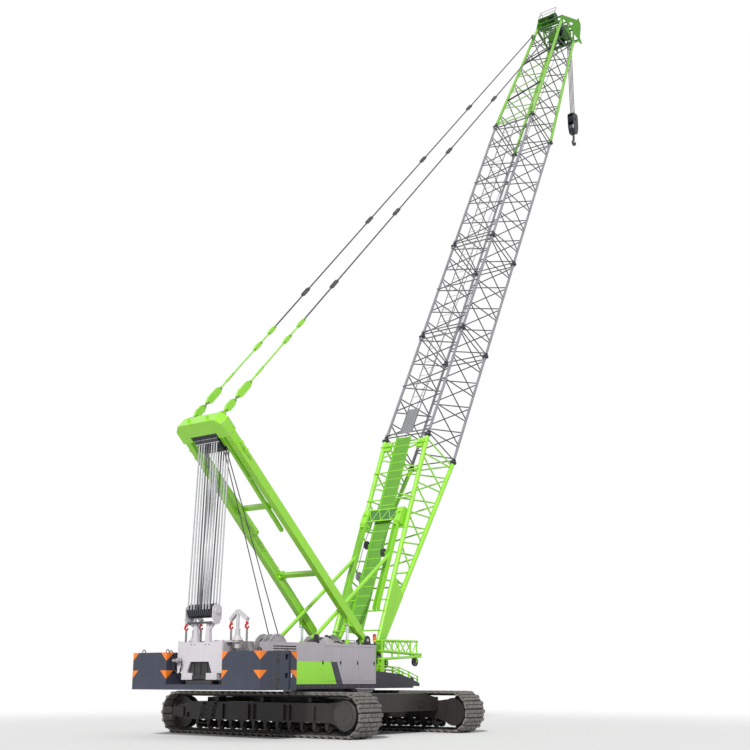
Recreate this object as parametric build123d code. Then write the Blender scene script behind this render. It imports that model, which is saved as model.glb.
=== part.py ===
from build123d import *
from math import atan2, cos, hypot, pi, radians, sin
import os

# Crawler crane with a lattice boom, standing with its boom over the side of its tracks.
# Frame, in millimetres: the origin is on the ground below the slewing centre, +X is the way the boom
# points, +Y is the crane's left and +Z is up. The boom and the mast are drawn lying along +X from
# their foot pins, and are then raised.

# ---------------------------------------------------------------- driving dimensions
seat_gap = 0.3            # between pieces that lie on each other
running_gap = 8.0         # between pieces that move past each other

# undercarriage
gauge = 6020.0            # between the centre lines of the two tracks
track_length = 9380.0     # over the shoes
track_height = 1450.0
shoe_width = 1180.0
shoe_thickness = 70.0
shoe_count = 66
shoe_gap = 46.0           # along the chain, between the faces of two shoes
chain_depth = 105.0       # from the back of a shoe to the running face of the chain
roller_count = 12
roller_radius = 150.0
roller_reach = 3050.0     # of the outermost rollers, from the middle of the track
frame_width = 800.0       # of a track frame, across the track
frame_bottom = 490.0
frame_top = 1100.0
wheel_slot = 340.0        # slot in the frame's ends for the sprocket and the idler
drive_radius = 380.0      # round case of the travel drive
beam_depth = 610.0        # height of the carbody's beams
beam_bottom = 760.0
beam_width = 1000.0
beam_end = 3300.0         # outer face of a cross beam, from the slewing centre
beam_foot_top = 1240.0    # a beam's ends are lower, to pass inside the track
ring_radius = 1180.0
ring_height = 150.0
tooth_pitch = 300.0       # of the sprocket
tooth_height = 70.0
rib_places = (-2600.0, -1500.0, -1250.0, 150.0, 400.0, 1650.0)
ladder_rails = (2050.0, 2620.0)            # y of the ladder's rails at its top
ladder_lean = 260.0       # along the track, from its top to its foot
ladder_rung_count = 5

# superstructure
deck_bottom = 1540.0
deck_thickness = 160.0
half_deck = 1700.0        # half of the width over the housings
deck_front = 3660.0
housing_front = 970.0
housing_top = 3070.0
sheet = 40.0              # wall of a housing
girder_y = 1110.0         # centre of a pair of long girder plates, also of the boom's chords
girder_gap = 270.0        # between the two plates of a pair
girder_plate = 30.0
girder_top = 2400.0
tail_rear = -6200.0
tail_half = 1050.0
tail_top = 3100.0
tail_wall_y = 600.0
door_width = 940.0
door_edges = (-1935.0, -985.0, -35.0)   # rear edges of the doors of the right housing
grille_count = 6
grille_pitch = 80.0
# the front deck on the right: its height at the housing, then x and z of its corners
slope_top = 2150.0
deck_slope = ((2430.0, 2050.0), (3050.0, 1900.0))

# cab
cab_rear = 2350.0
cab_front = 4200.0
cab_inner = 1450.0
cab_outer = 2550.0
cab_floor = 1560.0
cab_roof = 3290.0
cab_wall = 45.0

# counterweight
weight_rear = -6450.0
weight_depth = 1700.0
weight_half = 2985.0
weight_inner = 1310.0
weight_bottom = 1530.0
weight_top = 2730.0
layer_joint = 2150.0      # height between the two layers
tray_thickness = 170.0
groove_x = -5130.0        # upright groove in the weights' outer sides
jack_x = -5500.0
jack_y = 1020.0
arm_peak = 4050.0         # top of a jack's arm, and its two ends
arm_low = 3760.0
arm_inner = 690.0
arm_outer = 1475.0
tackle_inset = 30.0       # of the hooks, from the arm's ends
chain_stay = 2300.0       # plate on the tail where an inner chain ends
link_length = 110.0

# boom
boom_foot_x = 1660.0
boom_foot_z = 2640.0
boom_angle = 62.6
chord_y = girder_y        # half width between the chords' centres
chord_n = 1030.0          # half depth between the chords' centres
base_length = 9690.0
insert_lengths = (5985.0, 5930.0, 9065.0)
insert_brace_count = (8, 8, 12)            # braces on each side of an insert
base_brace_count = 9
tip_brace_count = 12
tip_length = 8800.0
tip_y = 780.0
tip_n = 760.0
# radius of a section's chords and of its braces
base_tubes = (95.0, 34.0)
insert_tubes = (60.0, 27.0)
tip_tubes = (78.0, 28.0)
lug_radius = 62.0         # round end of the lugs that join two sections
lug_plate = 26.0          # each of a fork's two plates
tongue_plate = 56.0
lug_reach = 90.0          # from a joint's pin to the end of a chord's tube
joint_pin = 30.0
end_room = 3.0            # left by the tip's slanted chords below the head
foot_radius = 125.0
foot_half_n = 45.0        # half depth between the chords' centre lines at the foot pin
foot_width = 220.0
foot_pin_radius = 60.0
root_end = 600.0          # where the two chords of a side part
web_plate = 40.0
web_rear = 3200.0         # upper edge of the foot's web, at the rear and at the front chord
web_front = 2800.0
rail_inner = 755.0        # the plates of a backstop's rail
rail_outer = 925.0
rail_plate = 15.0
rail_low = 1750.0
rail_high = 5450.0
rail_depth = 200.0
bracket_top = 6200.0
shoulder_low = 9120.0     # plates inside the rear chords at the base's top
walk_half = 370.0         # half width of the walkway on the base
walk_insert_half = 300.0
walk_low = 900.0
walk_rung_pitch = 400.0
saddle = 40.0             # square bars that carry the walkway on the rear chords
saddle_stations = (1000.0, 1800.0, 2250.0, 5330.0, 6700.0, 8000.0, 9300.0)
# guide sheaves of the hoist rope: along the boom, across it
guide_sheaves = ((4600.0, 480.0), (4210.0, -480.0), (3250.0, 480.0))
guide_radius = 170.0
pendant_y = 750.0
pendant_radius = 30.0
pendant_inset = 870.0     # from the tip's upper end to the pendants' pins
pendant_n = 1000.0
pendant_foot_gap = 40.0   # from the mast head's pin to a pendant's lower eye
pendant_joints = (1400.0, 2300.0, 8300.0, 14300.0, 20300.0, 26300.0)

# boom head, measured from the tip's upper end
head_plate = 36.0
head_shaft = 1300.0
head_shaft_n = -700.0
head_sheave = 420.0
head_peak = (430.0, 930.0)
head_nose = (1960.0, -640.0)
platform_along = 780.0

# mast
mast_foot_x = 1010.0
mast_foot_z = 3245.0
mast_angle = 136.7
mast_length = 10200.0
mast_head_y = 980.0
mast_head_back = 420.0    # the head box, from the pin line of the pendants
mast_head_front = 320.0
pendant_foot_n = -415.0   # the pendants' pins over the middle of the mast's head
mast_sheave = 300.0
mast_sheave_back = 330.0  # from the head box to the sheaves' shaft
mast_sheave_count = 10
leg_width = 240.0
leg_depth = 330.0
mast_bars = (3320.0, 6530.0)               # cross bars between the legs
arm_foot = 5530.0
arm_y = (600.0, 668.0)    # across the mast, at an arm's foot and at its top
arm_bracket = 7900.0
mast_pegs = (9000.0, 9350.0)

# cylinders and backstops
mast_eye_x = 30.0         # rod's eye of a mast cylinder
mast_eye_z = 3790.0
cylinder_foot_x = 20.0
cylinder_foot_z = 1850.0
barrel_length = 1400.0
barrel_radius = 90.0
barrel_collar = 900.0     # along the barrel to its clamped ring
eye_pin_radius = 40.0
rod_radius = 55.0
rod_length = 1440.0
backstop_x = -1500.0
backstop_z = 3300.0
backstop_y = 840.0
backstop_radius = 70.0
backstop_reach = 4200.0   # along the boom to the backstop's end
backstop_n = 650.0

# boom hoist: the lower block behind the tail
hoist_x = -6100.0
hoist_z = 4050.0
hoist_sheave = 230.0
hoist_sheave_count = 12
cheek_y = 645.0

# folded strut beside the cab: its long bars, each from (x, z) to (x, z)
strut_sides = (-1650.0, -1350.0)
strut_bars = (((1450.0, 3250.0), (3600.0, 3260.0)), ((1330.0, 2880.0), (3840.0, 2780.0)),
              ((1250.0, 2570.0), (3830.0, 2700.0)))
strut_bay_count = 6
strut_tube = 42.0
strut_sheaves = ((3640.0, 2510.0), (1750.0, 2430.0))
column = (1330.0, 1470.0)
rail_post = 50.0          # guard rails of the front deck
rail_heights = (110.0, 230.0)
lamp_place = (1010.0, -1600.0)

# winches: x, lowest and highest y of the drum, z of its shaft
winches = {"rear": (-3400.0, -880.0, -180.0, 2900.0), "front": (-100.0, -560.0, 560.0, 2950.0)}
drum_shaft_radius = 60.0
drum_radius = 280.0
flange_radius = 480.0
lug_sheet = 30.0          # plates that carry the drums

# hoist
hook_drop = 5100.0        # from the head sheaves' axis to the hook block
block_height = 1240.0
block_half_x = 270.0
block_half_y = 190.0
rope_pitch = 80.0         # between the falls of the hoist rope
rope_radius = 18.0
hook_drop_below = 560.0   # from the block to the middle of the hook's bowl
hook_bowl = 95.0
hook_outer = 175.0

os.makedirs("parts", exist_ok=True)
nodes = {}
STAND = (Align.CENTER, Align.CENTER, Align.MIN)


# ---------------------------------------------------------------- shapes used all over
def box(x0, x1, y0, y1, z0, z1):
    """A block between two corners."""
    middle = ((x0 + x1) / 2, (y0 + y1) / 2, (z0 + z1) / 2)
    return Pos(*middle) * Box(abs(x1 - x0), abs(y1 - y0), abs(z1 - z0))


def tube(start, end, radius):
    """A round bar between two points."""
    start, end = Vector(*start), Vector(*end)
    run = end - start
    return Plane(origin=start, z_dir=run) * Cylinder(radius, run.length, align=STAND)


def beam(start, end, width, depth):
    """A rectangular bar between two points, its width level and across its run."""
    start, end = Vector(*start), Vector(*end)
    run = end - start
    across = Vector(0, 0, 1).cross(run)
    plane = Plane(origin=start, x_dir=across, z_dir=run)
    return plane * Box(width, depth, run.length, align=STAND)


def slab_xz(points, y0, y1):
    """An outline in X and Z, from y0 to y1."""
    low, high = sorted((y0, y1))
    outline = make_face(Polyline(*points, close=True))
    return extrude(Plane(origin=(0, high, 0), x_dir=(1, 0, 0), z_dir=(0, -1, 0)) * outline, high - low)


def slab_yz(points, x0, x1):
    """An outline in Y and Z, from x0 to x1."""
    low, high = sorted((x0, x1))
    outline = make_face(Polyline(*points, close=True))
    return extrude(Plane(origin=(low, 0, 0), x_dir=(0, 1, 0), z_dir=(1, 0, 0)) * outline, high - low)


def disc(x, z, y0, y1, radius):
    """A round disc or pin with its axis along Y."""
    return tube((x, y0, z), (x, y1, z), radius)


def mirrored(shape):
    """The same piece on the other side of the crane."""
    return mirror(shape, Plane.XZ)


def union(shapes):
    """One piece fused from many."""
    shapes = list(shapes)
    return shapes[0] + shapes[1:] if len(shapes) > 1 else shapes[0]


def lug(x, z, y, thickness, foot_z, radius, half_foot, bore):
    """A plate that stands at foot_z and carries a bore at x, z under a round top."""
    plate = slab_xz([(x - half_foot, foot_z), (x + half_foot, foot_z), (x + radius, z), (x - radius, z)],
                    y - thickness / 2, y + thickness / 2)
    top = disc(x, z, y - thickness / 2, y + thickness / 2, radius)
    return plate + top - disc(x, z, y - thickness, y + thickness, bore + 0.05)


# ---------------------------------------------------------------- undercarriage
turn_radius = track_height / 2
wheel_y = track_length / 2 - turn_radius
running_depth = shoe_thickness + chain_depth
wheel_radius = turn_radius - running_depth - seat_gap


def loop_point(distance, inset):
    """The point that lies a distance round the track and an inset below the shoes' faces."""
    straight, bend = 2 * wheel_y, pi * turn_radius
    distance = distance % (2 * straight + 2 * bend)
    radius = turn_radius - inset
    if distance < straight:
        return distance - wheel_y, inset
    if distance < straight + bend:
        turn = (distance - straight) / turn_radius
        return wheel_y + radius * sin(turn), turn_radius - radius * cos(turn)
    if distance < 2 * straight + bend:
        return wheel_y - (distance - straight - bend), track_height - inset
    turn = (distance - 2 * straight - bend) / turn_radius
    return -wheel_y - radius * sin(turn), turn_radius + radius * cos(turn)


def track_loop(x):
    """The closed loop of shoes on its chain, with a notch between every two shoes."""
    pitch = (4 * wheel_y + 2 * pi * turn_radius) / shoe_count
    outer = []
    for shoe in range(shoe_count):
        begin, end = shoe * pitch + shoe_gap / 2, (shoe + 1) * pitch - shoe_gap / 2
        outer += [loop_point(begin, shoe_thickness), loop_point(begin, 0), loop_point(end, 0),
                  loop_point(end, shoe_thickness)]
    track = slab_yz(outer, x - shoe_width / 2, x + shoe_width / 2)
    inside = slab_yz([(-wheel_y, running_depth), (wheel_y, running_depth),
                      (wheel_y, track_height - running_depth),
                      (-wheel_y, track_height - running_depth)], x - shoe_width, x + shoe_width)
    for y in (-wheel_y, wheel_y):
        inside += tube((x - shoe_width, y, turn_radius), (x + shoe_width, y, turn_radius),
                       turn_radius - running_depth)
    return track - inside


def roller_places():
    """The rollers' y, from one end of the frame to the other."""
    step = 2 * roller_reach / (roller_count - 1)
    return [-roller_reach + index * step for index in range(roller_count)]


def frame_girder(x):
    """The box girder of a track frame, forked at its ends for the sprocket and the idler."""
    half = frame_width / 2
    outline = [(-wheel_y, 260), (-3250, frame_bottom), (3450, frame_bottom), (4240, 600), (4240, 870),
               (3350, frame_top), (-3250, frame_top), (-wheel_y, 1190)]
    girder = slab_yz(outline, x - half, x + half)
    girder += tube((x - half, -wheel_y, turn_radius), (x + half, -wheel_y, turn_radius), wheel_radius - 65)
    fork = wheel_radius + 60
    for y0, y1 in ((-track_length / 2, -wheel_y + fork), (wheel_y - fork, track_length / 2)):
        girder -= box(x - wheel_slot / 2, x + wheel_slot / 2, y0, y1, 0, track_height)
    return girder


def frame_ladder(face, outward):
    """A slanted ladder on the outer side: two rails on stand-offs, and the rungs between them."""
    stand, rail = 70, 24
    x = face + outward * stand
    pieces = []
    for y in ladder_rails:
        top, bottom = (x, y, frame_top), (x, y + ladder_lean, 220)
        pieces.append(tube(top, bottom, rail))
        pieces.append(box(face - outward * 5, x, y - 25, y + 25, frame_top - 90, frame_top - 40))
        pieces.append(box(face - outward * 5, x, y + ladder_lean / 2 - 15, y + ladder_lean / 2 + 45, 620,
                          670))
    for rung in range(1, ladder_rung_count + 1):
        share = rung / (ladder_rung_count + 1)
        z = frame_top - (frame_top - 220) * share
        shift = ladder_lean * share
        pieces.append(tube((x, ladder_rails[0] + shift, z), (x, ladder_rails[1] + shift, z), rail - 8))
    return pieces


def track_frame(x, outward):
    """A girder with ribs, a step hole and a ladder on its outer side, roller lugs and the travel drive."""
    side = x + outward * frame_width / 2
    girder = frame_girder(x)
    girder -= box(side - outward * 60, side + outward * 10, 3290, 3510, 540, 720)
    drive = ((drive_radius, 60), (drive_radius - 40, 95), (90, 120))
    added = [tube((side - outward * 10, -wheel_y, turn_radius),
                  (side + outward * proud, -wheel_y, turn_radius), radius)
             for radius, proud in drive]
    for y in rib_places:
        foot, head = frame_bottom + 30, frame_top - 40
        added.append(slab_xz([(side - outward * 5, foot), (side + outward * 70, foot + 60),
                              (side + outward * 70, head - 60), (side - outward * 5, head)], y - 15, y + 15))
    added += frame_ladder(side, outward)
    added.append(box(side - outward * 5, side + outward * 45, 3650, 3950, 560, 900))
    for y in roller_places():
        for edge in (-1, 1):
            face = x + edge * (wheel_slot / 2 + 80)
            over = running_depth + roller_radius - 60
            low = frame_bottom + 5
            cheek = slab_yz([(y - 95, low), (y + 95, low), (y + 50, over), (y - 50, over)], face,
                            face + edge * 60)
            added.append(cheek)
    return union([girder] + added)


def sprocket(x, width):
    """A drive wheel whose teeth stand in the chain's pitch, each a trapezium on the wheel's rim."""
    teeth = round(2 * pi * (wheel_radius - tooth_height) / tooth_pitch)
    root = wheel_radius - tooth_height
    outline = []
    for tooth in range(teeth):
        middle = 2 * pi * tooth / teeth
        for turn, radius in ((-0.34, root), (-0.16, wheel_radius), (0.16, wheel_radius), (0.34, root)):
            angle = middle + turn * 2 * pi / teeth
            outline.append((-wheel_y + radius * sin(angle), turn_radius + radius * cos(angle)))
    wheel = slab_yz(outline, x - width / 2, x + width / 2)
    hollow = width / 2 - 60
    for side in (-1, 1):
        wheel -= tube((x + side * hollow, -wheel_y, turn_radius), (x + side * width, -wheel_y, turn_radius),
                      root - 120)
    return wheel + tube((x - width / 2, -wheel_y, turn_radius), (x + width / 2, -wheel_y, turn_radius),
                        root - 260)


def running_gear(x):
    """Sprocket, idler, track rollers with their double flanges and carrier rollers of one track."""
    width = wheel_slot - 2 * running_gap
    idler = tube((x - width / 2, wheel_y, turn_radius), (x + width / 2, wheel_y, turn_radius), wheel_radius)
    for side in (-1, 1):
        idler -= tube((x + side * (width / 2 - 40), wheel_y, turn_radius),
                      (x + side * width, wheel_y, turn_radius),
                      wheel_radius - 110)
    idler += tube((x - width / 2, wheel_y, turn_radius), (x + width / 2, wheel_y, turn_radius), 150)
    pieces = [idler, sprocket(x, width)]
    reach = wheel_slot / 2 + 80 - seat_gap
    z = running_depth + roller_radius + seat_gap
    for y in roller_places():
        roller = tube((x - reach, y, z), (x + reach, y, z), roller_radius - 35)
        for side in (-1, 1):
            roller += tube((x + side * (reach - 130), y, z), (x + side * (reach - 30), y, z), roller_radius)
        pieces.append(roller)
    carrier = (track_height - running_depth - frame_top) / 2
    for y in (-2200, 0, 2200):
        z = frame_top + carrier
        pieces.append(tube((x - 200, y, z), (x + 200, y, z), carrier - seat_gap))
    return pieces


def cross_beam(side):
    """A beam of the carbody: deep between the tracks, lower where its ends pass inside a track."""
    reach = gauge / 2 - frame_width / 2 - seat_gap
    inside = gauge / 2 - shoe_width / 2 - 10
    middle, top = inside - 700, beam_bottom + beam_depth
    outline = [(-reach, beam_bottom + 90), (-inside, beam_bottom), (inside, beam_bottom),
               (reach, beam_bottom + 90),
               (reach, beam_foot_top), (inside, beam_foot_top), (middle, top), (-middle, top),
               (-inside, beam_foot_top), (-reach, beam_foot_top)]
    outer = side * beam_end
    beam = slab_xz(outline, outer, outer - side * beam_width)
    for x in (-1500, 1500):
        beam += box(x - 110, x + 110, outer, outer + side * 60, beam_bottom + 150, beam_bottom + 420)
        beam -= tube((x, outer - side * 40, beam_bottom + 290), (x, outer + side * 70, beam_bottom + 290), 55)
    return beam


def build_undercarriage():
    top = beam_bottom + beam_depth
    inner = beam_end - beam_width + 20
    middle = slab_yz([(-inner, beam_bottom), (inner, beam_bottom), (inner, top - 60), (1350, top),
                      (-1350, top), (-inner, top - 60)], -1500, 1500)
    seat = tube((0, 0, top - 40), (0, 0, deck_bottom - ring_height), ring_radius + 90)
    nodes["carbody"] = union([middle, cross_beam(-1), cross_beam(1), seat])
    low, high = deck_bottom - ring_height + seat_gap, deck_bottom - seat_gap
    ring = tube((0, 0, low), (0, 0, high), ring_radius)
    groove = tube((0, 0, low + 60), (0, 0, low + 75), ring_radius + 10)
    groove -= tube((0, 0, low), (0, 0, high), ring_radius - 25)
    nodes["slewing_ring"] = ring - groove
    for name, side in (("left", -1), ("right", 1)):
        x = side * gauge / 2
        nodes["track_frame_" + name] = track_frame(x, side)
        nodes["running_gear_" + name] = Compound(children=running_gear(x))
        nodes["track_" + name] = track_loop(x)


# ---------------------------------------------------------------- superstructure
deck_top = deck_bottom + deck_thickness
deck_base = deck_top + seat_gap
deck_rear = weight_rear + weight_depth + 20
plate_ys = (girder_y - girder_gap / 2 - girder_plate / 2, girder_y + girder_gap / 2 + girder_plate / 2)
housing_inner = plate_ys[1] + girder_plate / 2 + 10


def deck_height(x):
    """Height of the sloping front deck at x."""
    corners = [(housing_front + 10, slope_top), *deck_slope, (deck_front, deck_top + 10)]
    for (x0, z0), (x1, z1) in zip(corners, corners[1:]):
        if x <= x1:
            return z0 + (z1 - z0) * (x - x0) / (x1 - x0)
    return deck_top + 10


def deck_floor():
    """The floor, the sloping front deck on the right and the step below the cab."""
    floor = box(deck_rear, cab_rear - 100, -half_deck, half_deck, deck_bottom, deck_top)
    floor += box(deck_rear, deck_front - 400, -half_deck, cab_inner - 50, deck_bottom, deck_top)
    wedge = [(housing_front + 10, deck_base), (deck_front - 400, deck_base), (deck_front, deck_top - 100),
             (deck_front, deck_top + 10), *reversed(deck_slope), (housing_front + 10, slope_top)]
    front = slab_xz(wedge, -half_deck, -housing_inner)
    step = box(deck_front - 400 + seat_gap, deck_front + 100, housing_inner - 60, cab_inner + 300,
               deck_bottom - 30, cab_floor - seat_gap)
    return [floor, front, step]


def deck_girders():
    """Two pairs of long plates with the lugs of the boom, the mast and the backstops."""
    girders = []
    for y in plate_ys:
        side = slab_xz([(deck_rear, deck_base), (2350, deck_base), (2050, 2250), (1450, girder_top),
                        (deck_rear, girder_top)], y - girder_plate / 2, y + girder_plate / 2)
        side += lug(boom_foot_x, boom_foot_z, y, girder_plate, 2100, 190, 420, foot_pin_radius)
        side += lug(mast_foot_x, mast_foot_z, y, girder_plate, 2350, 170, 330, foot_pin_radius)
        if y == plate_ys[0]:
            side += lug(backstop_x, backstop_z, y - 10, 50, 2300, 120, 260, eye_pin_radius)
            side += disc(backstop_x, backstop_z, backstop_y - 75, y + 40, eye_pin_radius + 0.05)
        side -= disc(cylinder_foot_x, cylinder_foot_z, y - 100, y + 100, eye_pin_radius + 0.05)
        girders += [side, mirrored(side)]
    return girders


def build_deck():
    pieces = deck_floor()
    for x, y0, y1, z in winches.values():
        for y in (y0 - lug_sheet, y1 + lug_sheet):
            pieces.append(lug(x, z, y, lug_sheet, deck_base, 130, 420, drum_shaft_radius + seat_gap))
    tie = plate_ys[0] - girder_plate / 2 - seat_gap
    for x in (-4250, -3050, -420):
        pieces.append(box(x, x + 120, -tie, tie, deck_base, deck_top + 500))
    nodes["deck"] = Compound(children=pieces + deck_girders())
    pins = []
    reach = girder_gap / 2 + girder_plate + 20
    for x, z, radius, out in ((boom_foot_x, boom_foot_z, foot_pin_radius, reach),
                              (mast_foot_x, mast_foot_z, foot_pin_radius, reach),
                              (cylinder_foot_x, cylinder_foot_z, eye_pin_radius, reach - 20)):
        pin = disc(x, z, girder_y - out, girder_y + out, radius)
        pins += [pin, mirrored(pin)]
    nodes["foot_pins"] = Compound(children=pins)


def housing_shell(inner, outer):
    """A house of sheet on the deck, open below."""
    low, high = sorted((inner, outer))
    shell = box(deck_rear, housing_front, low, high, deck_base, housing_top)
    return shell - box(deck_rear + sheet, housing_front - sheet, low + sheet, high - sheet, deck_top,
                       housing_top - sheet)


def build_housings():
    shell = housing_shell(-housing_inner, -half_deck)
    low, high = deck_top + 90, housing_top - 90
    for index, x in enumerate(door_edges, 1):
        shell -= box(x, x + door_width, -half_deck - 10, -half_deck + sheet + 10, low, high)
        door = box(x + running_gap, x + door_width - running_gap, -half_deck, -half_deck + sheet,
                   low + running_gap, high - running_gap)
        for z in (low + 150, high - 250):
            door += tube((x + running_gap, -half_deck, z), (x + running_gap, -half_deck, z + 100),
                         running_gap - seat_gap)
        nodes["housing_door_%d" % index] = door
    for index in range(grille_count):
        z = housing_top - 560 + index * grille_pitch
        shell -= box(-4500, -3350, -half_deck - 10, -half_deck + sheet + 10, z, z + grille_pitch / 2)
    nodes["housing_right"] = shell
    left = housing_shell(housing_inner, half_deck)
    for x in (-4600, -3000, -1400):
        for index in range(2 * grille_count):
            z = deck_top + 250 + index * grille_pitch
            left -= box(x, x + 1300, half_deck - sheet - 10, half_deck + 10, z, z + grille_pitch / 2)
    nodes["housing_left"] = left
    nodes["engine"] = box(-2900, -620, -700, 700, deck_base, 2700)


def tail_plate():
    """The rear plate, with raised corners, notches in its upper edge and a trapezium window below."""
    edge = tail_top - 60
    outline = [(-tail_half, 2060), (tail_half, 2060), (tail_half, tail_top), (620, edge), (500, edge),
               (420, 2930),
               (330, 3010), (260, 2930), (180, edge), (-180, edge), (-260, 2930), (-330, 3010), (-420, 2930),
               (-500, edge), (-620, edge), (-tail_half, tail_top)]
    plate = slab_yz(outline, tail_rear, tail_rear + 60)
    window = slab_yz([(-620, 2000), (620, 2000), (430, 2420), (-430, 2420)], tail_rear - 10, tail_rear + 70)
    return plate - window


def tail_side(side):
    """One side wall with its slots, the jack's post and foot, a pad and a strut beside the window."""
    wall = side * tail_wall_y
    plate = slab_xz([(tail_rear + 40, deck_base + 100), (-5600, deck_base), (-4300, deck_base),
                     (-4300, tail_top), (tail_rear + 40, tail_top)], wall - 30, wall + 30)
    for x in (-5150, -4750):
        plate -= box(x, x + 220, wall - 40, wall + 40, 2200, 2850)
    post = tube((jack_x, side * jack_y, tail_top - 250), (jack_x, side * jack_y, 3470), 90)
    foot = Pos(jack_x, side * jack_y, tail_top) * Cone(190, 95, 160, align=STAND)
    arm = box(jack_x - 150, jack_x + 150, wall, side * (jack_y + 130), tail_top - 60, tail_top)
    chain = side * (arm_inner + tackle_inset)
    arm -= box(jack_x - 60, jack_x + 60, chain - 60, chain + 60, tail_top - 70, tail_top + 10)
    stay = box(jack_x - 20, jack_x + 20, wall, chain + side * 30, chain_stay - 70, chain_stay)
    pad = box(tail_rear, tail_rear + 200, side * 330, side * 830, 1850, 2060)
    strut = beam((tail_rear + 130, side * 900, 2070), (tail_rear + 130, side * 690, 1800), 60, 50)
    return [plate, post, foot, arm, stay, pad, strut]


def build_tail():
    pieces = [tail_plate()] + tail_side(-1) + tail_side(1)
    pieces.append(box(tail_rear, deck_rear, -tail_wall_y, tail_wall_y, deck_base, deck_top + 120))
    pieces.append(box(tail_rear, tail_rear + 500, -tail_wall_y, tail_wall_y, tail_top - 120, tail_top - 60))
    tail = union(pieces)
    for side in (-1, 1):
        tail -= tube((jack_x, side * jack_y, tail_top - 200), (jack_x, side * jack_y, 3500),
                     rod_radius + seat_gap)
    nodes["tail_frame"] = tail
    build_hoist_block()


def build_hoist_block():
    """The lower sheaves of the boom hoist: two cheeks, a cradle on two posts, a shaft and the sheaves."""
    cheek_outline = [(hoist_x - 200, hoist_z - 250), (hoist_x - 50, hoist_z - 450),
                     (hoist_x + 50, hoist_z - 450), (hoist_x + 200, hoist_z - 250),
                     (hoist_x + 200, hoist_z + 100), (hoist_x + 100, hoist_z + 200),
                     (hoist_x - 100, hoist_z + 200), (hoist_x - 200, hoist_z + 100)]
    cradle = [box(hoist_x - 150, hoist_x + 150, -cheek_y, cheek_y, hoist_z - 410, hoist_z - 350)]
    for side in (-1, 1):
        cradle.append(slab_xz(cheek_outline, side * (cheek_y - 20), side * (cheek_y + 20)))
        cradle.append(disc(hoist_x, hoist_z, side * cheek_y, side * (cheek_y + 60), 110))
        post = slab_yz([(side * 400, tail_top - 60 + seat_gap), (side * 180, tail_top - 60 + seat_gap),
                        (side * 230, hoist_z - 400), (side * 350, hoist_z - 400)], hoist_x - 60, hoist_x + 60)
        cradle.append(post)
        cradle.append(slab_yz([(side * 350, hoist_z - 400), (side * 620, hoist_z - 400),
                               (side * 350, hoist_z - 640)],
                              hoist_x - 25, hoist_x + 25))
    cradle.append(disc(hoist_x, hoist_z, -cheek_y, cheek_y, 50))
    pitch = 2 * (cheek_y - 60) / hoist_sheave_count
    for index in range(hoist_sheave_count):
        y = -cheek_y + 60 + (index + 0.5) * pitch
        cradle.append(disc(hoist_x, hoist_z, y - pitch * 0.32, y + pitch * 0.32, hoist_sheave))
        cradle.append(disc(hoist_x, hoist_z, y - pitch / 2, y + pitch / 2, hoist_sheave - 90))
    nodes["boom_hoist_block"] = union(cradle)


def weight_block(side, low, high):
    """One layer of the counterweight, with cut corners and an upright groove with two pockets."""
    front = weight_rear + weight_depth
    outer, inner = side * weight_half, side * weight_inner
    block = box(weight_rear, front, inner, outer, low, high)
    block -= box(groove_x, groove_x + 90, outer - side * 40, outer + side * 10, low - 1, high + 1)
    block -= box(groove_x - 160, groove_x, outer - side * 130, outer + side * 10, high - 260, high - 90)
    if high == weight_top:
        y = side * (arm_outer - tackle_inset)
        block += slab_xz([(jack_x - 90, high - 1), (jack_x + 90, high - 1), (jack_x + 40, high + 40),
                          (jack_x - 40, high + 40)], y - 15, y + 15)
    for x in (weight_rear + 250, front - 400):
        block -= box(x, x + 160, inner - side * 10, inner + side * 90, high - 120, high + 1)
    return block


def chain_link(x, y, z, along_x):
    """An eight-sided ring standing on end, turned a quarter from link to link."""
    half, wide, wire = link_length / 2, link_length * 0.36, link_length * 0.2
    outer = [(-wide, -half + wire), (-wide + wire, -half), (wide - wire, -half), (wide, -half + wire),
             (wide, half - wire), (wide - wire, half), (-wide + wire, half), (-wide, half - wire)]
    inner = [(across * (wide - wire) / wide, up * (half - wire) / half) for across, up in outer]
    slab = slab_xz if along_x else slab_yz
    at, level = (x, y) if along_x else (y, x)
    ring = slab([(at + across, z + up) for across, up in outer], level - wire / 2, level + wire / 2)
    return ring - slab([(at + across, z + up) for across, up in inner], level - wire, level + wire)


def jack_tackle(y, chain_end):
    """A swivel, a hook and a chain that hang from one end of a jack's arm."""
    eye = tube((jack_x, y, arm_low + 20), (jack_x, y, arm_low - 60), 26)
    swivel = Pos(jack_x, y, arm_low - 130) * Cylinder(48, 90, align=STAND)
    bowl = tube((jack_x - 25, y, arm_low - 210), (jack_x + 25, y, arm_low - 210), 88)
    bowl -= tube((jack_x - 40, y - 12, arm_low - 210), (jack_x + 40, y - 12, arm_low - 210), 48)
    bowl -= box(jack_x - 40, jack_x + 40, y - 100, y - 30, arm_low - 215, arm_low - 160)
    links = []
    top, pitch = arm_low - 275 - link_length * 0.3, link_length * 0.66
    count = int((top - link_length / 2 - chain_end) / pitch) + 1
    for index in range(count):
        links.append(chain_link(jack_x, y, top - index * pitch, index % 2 == 0))
    return [union([eye, swivel, bowl])] + links


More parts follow.
